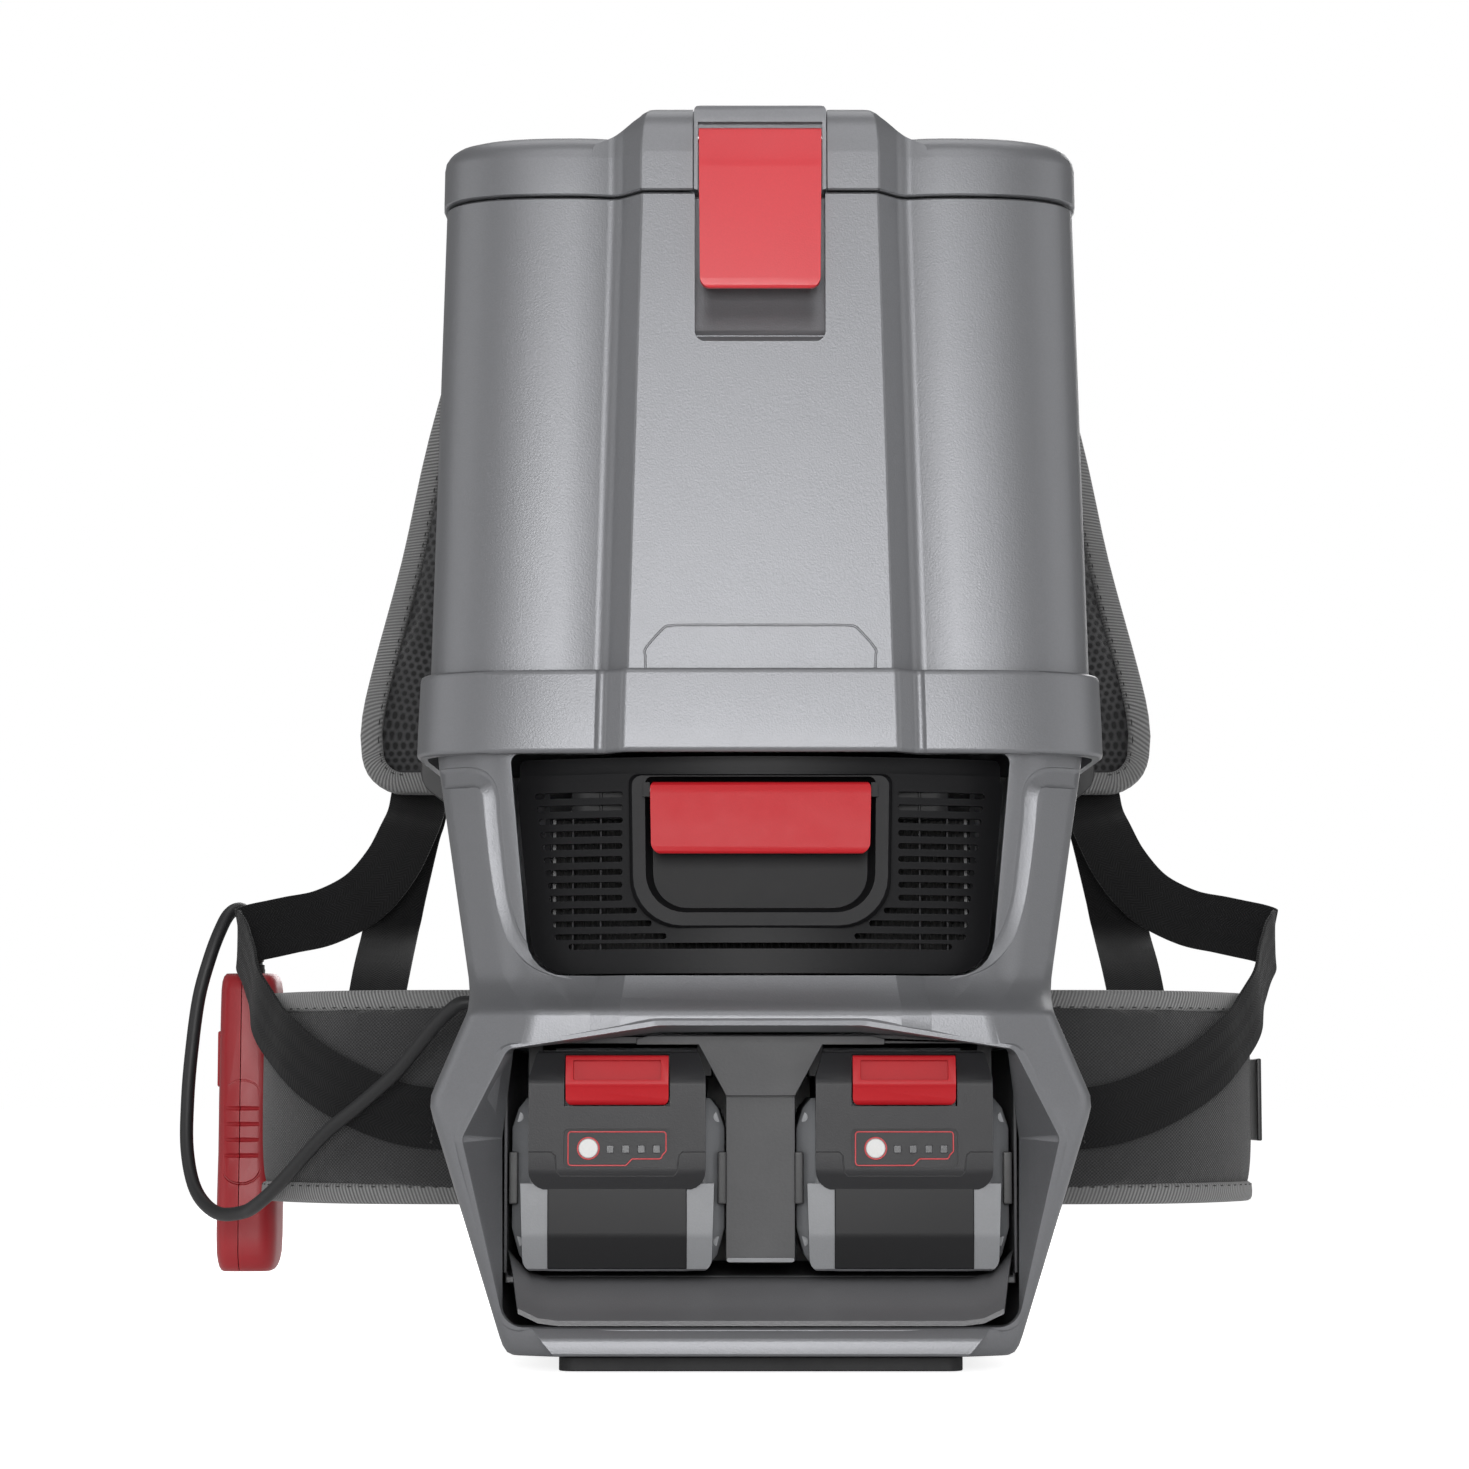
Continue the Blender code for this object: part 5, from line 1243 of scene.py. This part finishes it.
def cushion(lane, thick, trim, end):
    """The pad's own form along a lane: crowned faces that thin towards a sewn edge."""
    rings = []
    for u in np.linspace(end, lane.length - end, 60):
        half = max(lane.half(u) - trim, 0.006)
        oval = [squared(turn, 0.55, 0.75) for turn in turns(28)]
        rings.append([lane.at(u, a * half, b * thick / 2) for a, b in oval])
    return loft(rings)


def outline_of(lane, inset, corner):
    """A pad's edge in (along, across): down one side, round the end and back up the other."""
    first, second = corner
    low, high = inset, lane.length - inset
    down = [(u, lane.half(u) - inset) for u in np.linspace(low + first, high - second, 70)]
    turn_end, turn_start = [], []
    for t in np.linspace(0.15, math.pi / 2, 8):
        v = max(down[-1][1] - second * (1 - math.cos(t)), 0.0)
        turn_end.append((high - second + second * math.sin(t), v))
    for t in np.linspace(0.0, math.pi / 2 - 0.15, 8):
        turn_start.append((low + first - first * math.cos(t), down[0][1] - first * (1 - math.sin(t))))
    half = turn_start + down + turn_end
    return half + [(u, -v) for u, v in reversed(half)]


def binding(name, lane, wide, thick, corner):
    """The ribbed tape sewn round a pad's edge, as a closed loop of flat oval section, and its stitching."""
    edge = [Vector(spot) for spot in outline_of(lane, wide / 2, corner)]
    rings, spots = [], []
    run = 0.0
    for i, (u, v) in enumerate(edge):
        ahead = heading(edge, i, closed=True)
        run += (edge[i] - edge[i - 1]).length
        across = Vector((ahead.y, -ahead.x)).normalized()
        ring = []
        for turn in turns(16):
            a, b = squared(turn, 0.6, 0.5)
            a, b = a * wide / 2, b * thick / 2
            ring.append(lane.at(u + across.x * a, v + across.y * a, b))
            spots.append((run, a + (0.02 if b < 0 else 0)))
        rings.append(ring)
    bm = weave_map(loft(rings, closed=True), lambda vert: spots[vert.index])
    piece(name, bm, "binding", "machine", smooth_angle=70)
    inner = outline_of(lane, wide - 0.0016, [max(c - wide / 2, 0.002) for c in corner])
    dashes = []
    gone = 0.0
    for (u1, v1), (u2, v2) in zip(inner, inner[1:] + inner[:1]):
        gone += math.hypot(u2 - u1, v2 - v1)
        if gone > STITCH_EVERY:
            gone = 0.0
            turn = math.atan2(v2 - v1, u2 - u1)
            dashes += [(u2, v2, w, turn) for w in (-thick / 2 * 0.93, thick / 2 * 0.93)]
    piece(f"{name}_stitches", stitches(lane, dashes, 0.0022), "thread", "machine")


def pad(kind, name, lane, form, finish, edge):
    """A padded piece along a lane, with its bound edge. form is its thickness, trim and ends."""
    bm = puffed(f"{kind}_form_{name}", cushion(lane, *form), PUFF_CAP)
    bm = weave_map(bm, lambda vert: lane.nearest(vert.co)[:2])
    obj = piece(f"{kind}_cushion_{name}", bm, finish, "machine", f"{kind}_pad_{name}", smooth_angle=80)
    binding(f"{kind}_binding_{name}", lane, *edge)


def back_pad():
    """The pad on the wearer's back, T-shaped, with a bound edge and sewn channels down and across it."""
    outline = mirrored([
        (0.1265, 0.4235, 0.028), (0.1265, 0.2575, 0.028), (0.0865, 0.2215, 0.02), (0.0865, 0.0515, 0.024),
    ])
    low, high = BACK + 0.0088, 0.098
    shape = rounded(outline, 5)
    small = [(x * 0.985, 0.237 + (z - 0.237) * 0.985) for x, z in shape]
    edges = ((small, low), (shape, low + 0.002), (shape, high - 0.003), (small, high))
    bm = puffed("back_form", loft([[(x, y, z) for x, z in edge] for edge, y in edges]), 0.0045, voxel=0.005)
    for vert in bm.verts:
        x, y, z = vert.co
        if y > 0.088:
            groove = math.exp(-(((abs(x) - 0.03) / 0.004) ** 2))
            groove += sum(math.exp(-(((z - c) / 0.0045) ** 2)) for c in (0.14, 0.235, 0.33))
            vert.co.y -= 0.004 * min(groove, 1.0)
        vert.co.y = max(vert.co.y, low)
    bm = weave_map(bm, lambda vert: (vert.co.x, vert.co.z))
    obj = piece("back_cushion", bm, "mesh", "machine", "back_pad", smooth_angle=80)
    line = []
    for x, z, radius in outline:
        down = 0.003 if z > 0.3 else -0.003 if z < 0.1 else 0
        line.append((x + math.copysign(0.003, x), z - down, radius))
    edge = ribbon_tube([(x, 0.0905, z) for x, z in rounded(line, 10)], 0.0048, 0.0056, 16, closed=True)
    bm = weave_map(edge, lambda vert: (vert.co.x + vert.co.z, vert.co.y * 1.4))
    piece("back_binding", bm, "binding", "machine", smooth_angle=80)


for NAME, SIDE in SIDES.items():
    webbing(
        f"tension_webbing_{NAME}", to_side(TENSION, SIDE), f"tension_strap_{NAME}", joins=((0.004, 0.03),),
    )
    webbing(f"lower_webbing_{NAME}", to_side(LOWER, SIDE), f"lower_strap_{NAME}")
    waist = to_side(upright(WAIST, 0.105), SIDE)
    if SIDE < 0:
        tail = ((-0.056, 1), (-0.0465, 0.87), (-0.018, 0.87))
        waist[-2:] = [((x, 0.3, 0.105), (0, 0, 1), wide) for x, wide in tail]
    webbing(f"waist_strap_{NAME}", waist, f"waist_webbing_{NAME}", thickness=0.0012)
    shoulder = Lane(smooth(to_side(SHOULDER, SIDE), 4), 0.076)
    pad("shoulder", NAME, shoulder, (0.0085, 0.0035, 0.002), "mesh", (0.011, 0.0105, (0.012, 0.016)))
    hip = Lane(smooth(to_side(upright(WING, sum(BELT_Z) / 2), SIDE), 5), BELT_Z[1] - BELT_Z[0])
    pad("hip", NAME, hip, (0.01, 0.003, 0.001), "belt", (0.0095, 0.011, (0.004, 0.004)))
back_pad()

# ------------------------------------------------------------------ wired remote
REMOTE_AT = Vector((-0.2481, 0.212, 0.0))
REMOTE_ROWS = [
    (0.025, 0.56), (0.0256, 0.68), (0.0272, 0.8), (0.03, 0.9), (0.034, 0.97), (0.042, 1.0), (0.06, 1.0),
    (0.072, 0.975), (0.082, 0.952), (0.095, 0.948), (0.108, 0.95), (0.13, 0.93), (0.15, 0.912),
    (0.16, 0.89), (0.164, 0.84), (0.1666, 0.74), (0.168, 0.58),
]


def remote_half(side, deep):
    """Half of the remote's case, on one side of its parting plane."""
    flat = 0.0002
    rings = []
    for z, share in REMOTE_ROWS:
        wide = 0.0205 * share
        out = deep * (0.45 + 0.55 * share)
        ring = [(flat, -wide), (flat, wide)]
        for k in range(13):
            b, a = squared(math.pi / 2 * (1 - k / 6), 0.55, 0.45)
            ring.append((flat + (out - flat) * b, wide * a))
        rings.append([(side * x, y, z) for x, y in ring])
    bm = loft(rings)
    bmesh.ops.remove_doubles(bm, verts=bm.verts, dist=0.00001)
    return bm


def remote_grooves():
    """Four finger grooves on the narrow side, and an arc over and under them."""
    front = -0.0205
    made = []
    for z in (0.103, 0.0955, 0.088, 0.0805):
        made.append(ribbon_tube([(x, front, z) for x in np.linspace(-0.0072, 0.0092, 9)], 0.0013, 0.0022, 12))
    for z, rise in ((0.109, 0.0075), (0.0745, -0.0075)):
        arc = [(0.001 + 0.0092 * math.sin(t), z + rise * math.cos(t)) for t in np.linspace(-1.45, 1.45, 15)]
        made.append(ribbon_tube([(x, front, z) for x, z in arc], 0.0008, 0.0018, 10))
    return gather(*made)


def remote():
    """The remote's two halves and its rocker, the boot at its cord's end and the grommet at the other."""
    well = soften(box((-0.02, -0.0108, 0.1125), (-0.0068, 0.0108, 0.141)), 0.0008, 2)
    outer = csg(remote_half(-1, 0.0118), ("-", remote_grooves()), ("-", well))
    inner = csg(remote_half(1, 0.018), ("-", remote_grooves()))
    for side, bm in (("outer", outer), ("inner", inner)):
        edged(
            f"remote_shell_{side}", placed(bm, REMOTE_AT), "remote", "machine", f"remote_case_{side}",
            width=0.0004,
        )
    button = soften(box((-0.0124, -0.01, 0.1133), (-0.0094, 0.01, 0.1402)), 0.0012, 3)
    dimples = gather(*[cylinder((-0.0126, y, 0.1268), 0.0012, 0.001, "x", 16) for y in (-0.0036, 0, 0.0036)])
    bm = placed(csg(button, ("-", dimples)), REMOTE_AT)
    edged("remote_rocker", bm, "remote", "power_button", "remote_button", width=0.0002)
    boot = [(0.0061, 0.1684), (0.0062, 0.17)]
    for k in range(4):
        z = 0.1708 + 0.0034 * k
        r = 0.0059 - 0.00042 * k
        boot += [(r, z), (r, z + 0.0016), (r - 0.001, z + 0.002), (r - 0.001, z + 0.003)]
    boot += [(0.0043, 0.1844), (0.0041, 0.1848)]
    bm = turned(boot, (-0.2454, 0.2125), "z")
    piece("boot_sleeve", bm, "rubber", "machine", "cord_boot", smooth_angle=50)
    grommet = [(0.0044, -0.1126), (0.0047, -0.113), (0.0047, -0.119), (0.0047, -0.1198), (0.0062, -0.1199)]
    grommet += [(0.0066, -0.1212), (0.0062, -0.1222), (0.0052, -0.1234), (0.0044, -0.1242)]
    bm = turned(grommet, (0.042, 0.15), "x")
    piece("grommet_ring", bm, "rubber", "machine", "cord_grommet", smooth_angle=50)


# ------------------------------------------------------------------ battery bay
def tray():
    """The black tray with its side walls, and the scooped chute out to the lip."""
    start, end = -0.085, -0.1158
    run = smooth(
        [(start, 0.0362), (-0.093, 0.0358), (-0.0985, 0.034), (-0.104, 0.03), (-0.11, 0.0245), (end, 0.0203)],
        4,
    )
    rings = []
    for y, z in run:
        share = (y - start) / (end - start)
        half = 0.103 - 0.0068 * share
        ring = []
        for x in np.linspace(-half, half, 25):
            lift = 0.012 * max(0.0, (abs(x) - half + 0.016) / 0.016) ** 2.2 * (1 - 0.6 * share)
            ring.append((x, y, z + lift))
        rings.append(ring + [(x, py, pz - 0.002) for x, py, pz in reversed(ring)])
    piece("tray_chute", loft(rings), "tray", "machine", smooth_angle=50)
    tub = csg(
        box((-0.1032, -0.0955, 0.0335), (0.1032, 0.048, 0.1285)),
        ("-", box((-0.102, -0.12, 0.0365), (0.102, 0.0455, 0.14))),
        ("-", box((-0.2, -0.12, 0.03), (0.2, -0.084, 0.038))),
    )
    edged("tray_tub", tub, "tray", "machine", "bay_liner", width=0.0008)


def dock():
    """The dock in the bay's roof: rails, the middle block, its brow, and a light strip under the block that
    paints the highlight on its lower edge.
    """
    fascia = [(0.0, 0.133), (0.045, 0.133), (0.05, 0.1318), (0.05, 0.1295), (0.025, 0.1295), (0.0139, 0.109)]
    outline = fascia + [(-x, z) for x, z in reversed(fascia[1:])]
    block = prism(symmetric([(0.0139, 0.132, 0.001), (0.0139, 0.042, 0.0022)], 5), -0.0925, 0.042)
    rails = []
    for middle in (-BATTERY_X, BATTERY_X):
        for rail in box_pair(0.0345, 0.003, (-0.07, 0.04), (0.117, 0.1315)):
            rails.append(placed(rail, Vector((middle, 0, 0))))
    bm = csg(
        box((-0.1, -0.094, 0.13), (0.1, 0.045, 0.1335)),
        ("+", block),
        ("+", prism(outline, -0.0965, -0.09)),
        ("+", gather(*rails)),
    )
    # The dark finish is the middle block's own charcoal; on the fascia and brow it is painted shade, grey
    # plastic darkened for the bay's shade.
    edged("dock_frame", bm, "dark", "machine", "battery_dock", width=0.0009)
    # A light strip along the block's lower edge: a painted highlight.
    strip = symmetric([(0.0136, 0.044, 0.0008), (0.0136, 0.0424, 0.0008)], 3)
    piece("dock_edge_highlight_strip", prism(strip, -0.0934, -0.092), "shell", "machine")


def sole():
    """The rubber foot: a soft-edged block with a tread of shallow grooves under it."""
    base = prism(symmetric([(0.0805, -0.108, 0.006), (0.0805, 0.064, 0.01)]), 0.0, 0.0056, "z")
    grooves = [box((-0.074, y - 0.0012, -0.001), (0.074, y + 0.0012, 0.001)) for y in np.linspace(
        -0.096, 0.052, 13,
    )]
    edged(
        "foot_pad", csg(base, ("-", gather(*grooves))), "rubber", "machine", "foot", width=0.001,
        segments=3,
    )


# ------------------------------------------------------------------ bag and foam inside the canister
def bag_form(inset):
    """The bag's creased form, drawn in by a share of its size."""
    outline = symmetric([(0.092, -0.074, 0.03), (0.098, 0.062, 0.03)], 9)
    rows = [(0.272, 0.8), (0.279, 0.91), (0.3, 0.955), (0.36, 0.965), (0.42, 0.945), (0.445, 0.87)]
    rings = []
    for z, k in smooth(rows + [(0.46, 0.7), (0.4655, 0.46)], 5):
        shift = (0.0025 if z < 0.3 else -0.0022) if inset else 0
        ring = []
        for x, y in outline:
            turn = math.atan2(y, x)
            crease = 0.01 * math.sin(7 * turn + z * 55) + 0.008 * math.sin(13 * turn - z * 90)
            crease += 0.005 * math.sin(24 * turn + z * 150)
            size = k * (1 + crease * (0.3 + 0.7 * min((z - 0.272) / 0.05, 1))) - inset
            ring.append((x * size, y * size, z + shift))
        rings.append(ring)
    return loft(rings)


def dust_bag():
    """The paper bag: a soft creased form with a wall, its stiff card collar and its seal."""
    hole = cylinder((0, PORT_Y, 0.466), 0.0175, 0.04, sides=48)
    bm = csg(bag_form(0), ("-", bag_form(0.028)), ("-", hole))
    piece("bag_skin", bm, "bag", "machine", "filter_bag", smooth_angle=55)
    half = 0.036
    corners = [(half, PORT_Y - half), (half, PORT_Y + half), (-half, PORT_Y + half), (-half, PORT_Y - half)]
    plate = prism(rounded([(x, y, 0.006) for x, y in corners], 5), 0.4656, 0.468, "z")
    hole = cylinder((0, PORT_Y, 0.466), 0.0178, 0.04, sides=48)
    edged("bag_card", csg(plate, ("-", hole)), "media", "machine", width=0.0004)
    rings = []
    for turn in turns(48):
        loop = [(0.0195 + 0.0016 * math.cos(t), 0.4682 + 0.0011 * math.sin(t)) for t in turns(10)]
        rings.append([(r * math.cos(turn), PORT_Y + r * math.sin(turn), z) for r, z in loop])
    piece("bag_seal", loft(rings, closed=True), "rubber", "machine")


def foam():
    """The foam filter over the motor: a soft-cornered slab, a little crowned."""
    outline = symmetric([(0.0775, -0.0595, 0.012), (0.0775, 0.0575, 0.012)])
    rings = []
    for z, inset in (
        (0.2568, 0.0028), (0.2576, 0.001), (0.259, 0.0), (0.266, 0.0), (0.2676, 0.0012), (0.2686, 0.004),
    ):
        rings.append([(x * (1 - inset / 0.077), y * (1 - inset / 0.059), z) for x, y in outline])
    piece("foam_block", loft(rings), "foam", "machine", "pre_motor_filter", smooth_angle=60)


plastic("remote", (0.36, 0.016, 0.022), 0.4, grain=0.4, edge_wear_and_highlight=0.15, spread=0.05)
# The liner is black plastic; this lighter grey paints the sheen of light on its shiny surface.
plastic("tray", (0.11, 0.11, 0.115), 0.34, grain=0.5, edge_wear_and_highlight=0.2, Specular_IOR_Level=0.6)
plastic("foam", (0.035, 0.035, 0.038), 0.95, grain=0.9, size=420, edge_wear_and_highlight=0)
remote()
tray()
dock()
sole()
dust_bag()
foam()

# ------------------------------------------------------------------ CAD nodes that stay
def keep(node, finish):
    """A CAD node with a finish, welded and with its edges broken."""
    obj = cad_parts[node]
    obj.data.materials.clear()
    obj.data.materials.append(FINISHES[finish])
    obj.data.polygons.foreach_set("use_smooth", [True] * len(obj.data.polygons))
    obj.modifiers.new("weld", "WELD").merge_threshold = 0.00001
    if node not in SHARP:
        flat = obj.modifiers.new("flat", "DECIMATE")
        flat.decimate_type = "DISSOLVE"
        flat.angle_limit = math.radians(0.5)
        break_edges(obj, 0.0006, 2, 38)
    obj.modifiers.new("normals", "WEIGHTED_NORMAL").weight = NORMAL_WEIGHT


# The plug's thin bars break when its flat faces are merged.
SHARP = ("buckle_plug",)
KEPT = {
    "rear_cover": "grey", "motor_shroud": "black", "motor_stator": "steel", "motor_rotor": "steel",
    "impeller": "dark", "control_board": "board", "lid_gasket": "rubber", "hinge_pin": "steel",
    "latch_pin": "steel", "hose_swivel": "black", "tab_pin": "steel", "back_plate": "black",
    "remote_clip": "black", "belt_clip": "black", "buckle_socket": "black", "buckle_plug": "black",
}
for side in SIDES:
    KEPT.update({
        f"battery_cells_{side}": "wrap", f"gauge_button_{side}": "white", f"strap_adjuster_{side}": "black",
    })


# ------------------------------------------------------------------ studio
def lamp(name, place, power, size):
    """An area light that faces the machine's middle."""
    data = bpy.data.lights.new(name, "AREA")
    data.energy = power
    data.size = size
    obj = bpy.data.objects.new(name, data)
    obj.location = place
    obj.rotation_euler = (Vector((0, 0, 0.25)) - Vector(place)).to_track_quat("-Z", "Y").to_euler()
    bpy.context.scene.collection.objects.link(obj)


def studio():
    """The white floor and world, and the lights."""
    scene = bpy.context.scene
    scene.view_settings.view_transform = "Standard"
    floor = bmesh.new()
    bmesh.ops.create_grid(floor, x_segments=1, y_segments=1, size=30)
    obj = mesh_object("floor", floor)
    obj.location = (0, 0, -0.0002)
    paint = bpy.data.materials.new("floor_paint")
    paint.use_nodes = True
    nodes, links = paint.node_tree.nodes, paint.node_tree.links
    shader = nodes["Principled BSDF"]
    shader.inputs["Base Color"].default_value = (0.92, 0.92, 0.92, 1)
    shader.inputs["Roughness"].default_value = 0.8
    shader.inputs["Emission Color"].default_value = WHITE
    seen = nodes.new("ShaderNodeLightPath").outputs["Is Camera Ray"]
    glow = nodes.new("ShaderNodeMapRange")
    glow.inputs["To Min"].default_value = 0.08
    glow.inputs["To Max"].default_value = 0.8
    links.new(seen, glow.inputs["Value"])
    links.new(glow.outputs[0], shader.inputs["Emission Strength"])
    obj.data.materials.append(paint)
    world = bpy.data.worlds.new("studio")
    scene.world = world
    world.use_nodes = True
    nodes, links = world.node_tree.nodes, world.node_tree.links
    seen = nodes.new("ShaderNodeLightPath").outputs["Is Camera Ray"]
    mixer = nodes.new("ShaderNodeMixShader")
    links.new(seen, mixer.inputs[0])
    for i, (background, strength) in enumerate((
        (nodes["Background"], 0.26), (nodes.new("ShaderNodeBackground"), 1.0),
    )):
        background.inputs["Color"].default_value = WHITE
        background.inputs["Strength"].default_value = strength
        links.new(background.outputs[0], mixer.inputs[i + 1])
    links.new(mixer.outputs[0], nodes["World Output"].inputs[0])
    lamp("key", (-0.05, -2.1, 0.42), 18.5, 0.6)
    lamp("overhead", (0.0, -1.2, 1.5), 4.5, 0.8)
    for name, side in SIDES.items():
        lamp(f"rim_{name}", (side * 1.6, -0.6, 0.6), 5, 1.4)
    lamp("top", (0.0, 0.3, 1.7), 5, 1.0)
    lamp("back", (0.3, 1.8, 0.9), 16, 1.2)


for node, finish in KEPT.items():
    keep(node, finish)
studio()
bpy.context.view_layer.update()
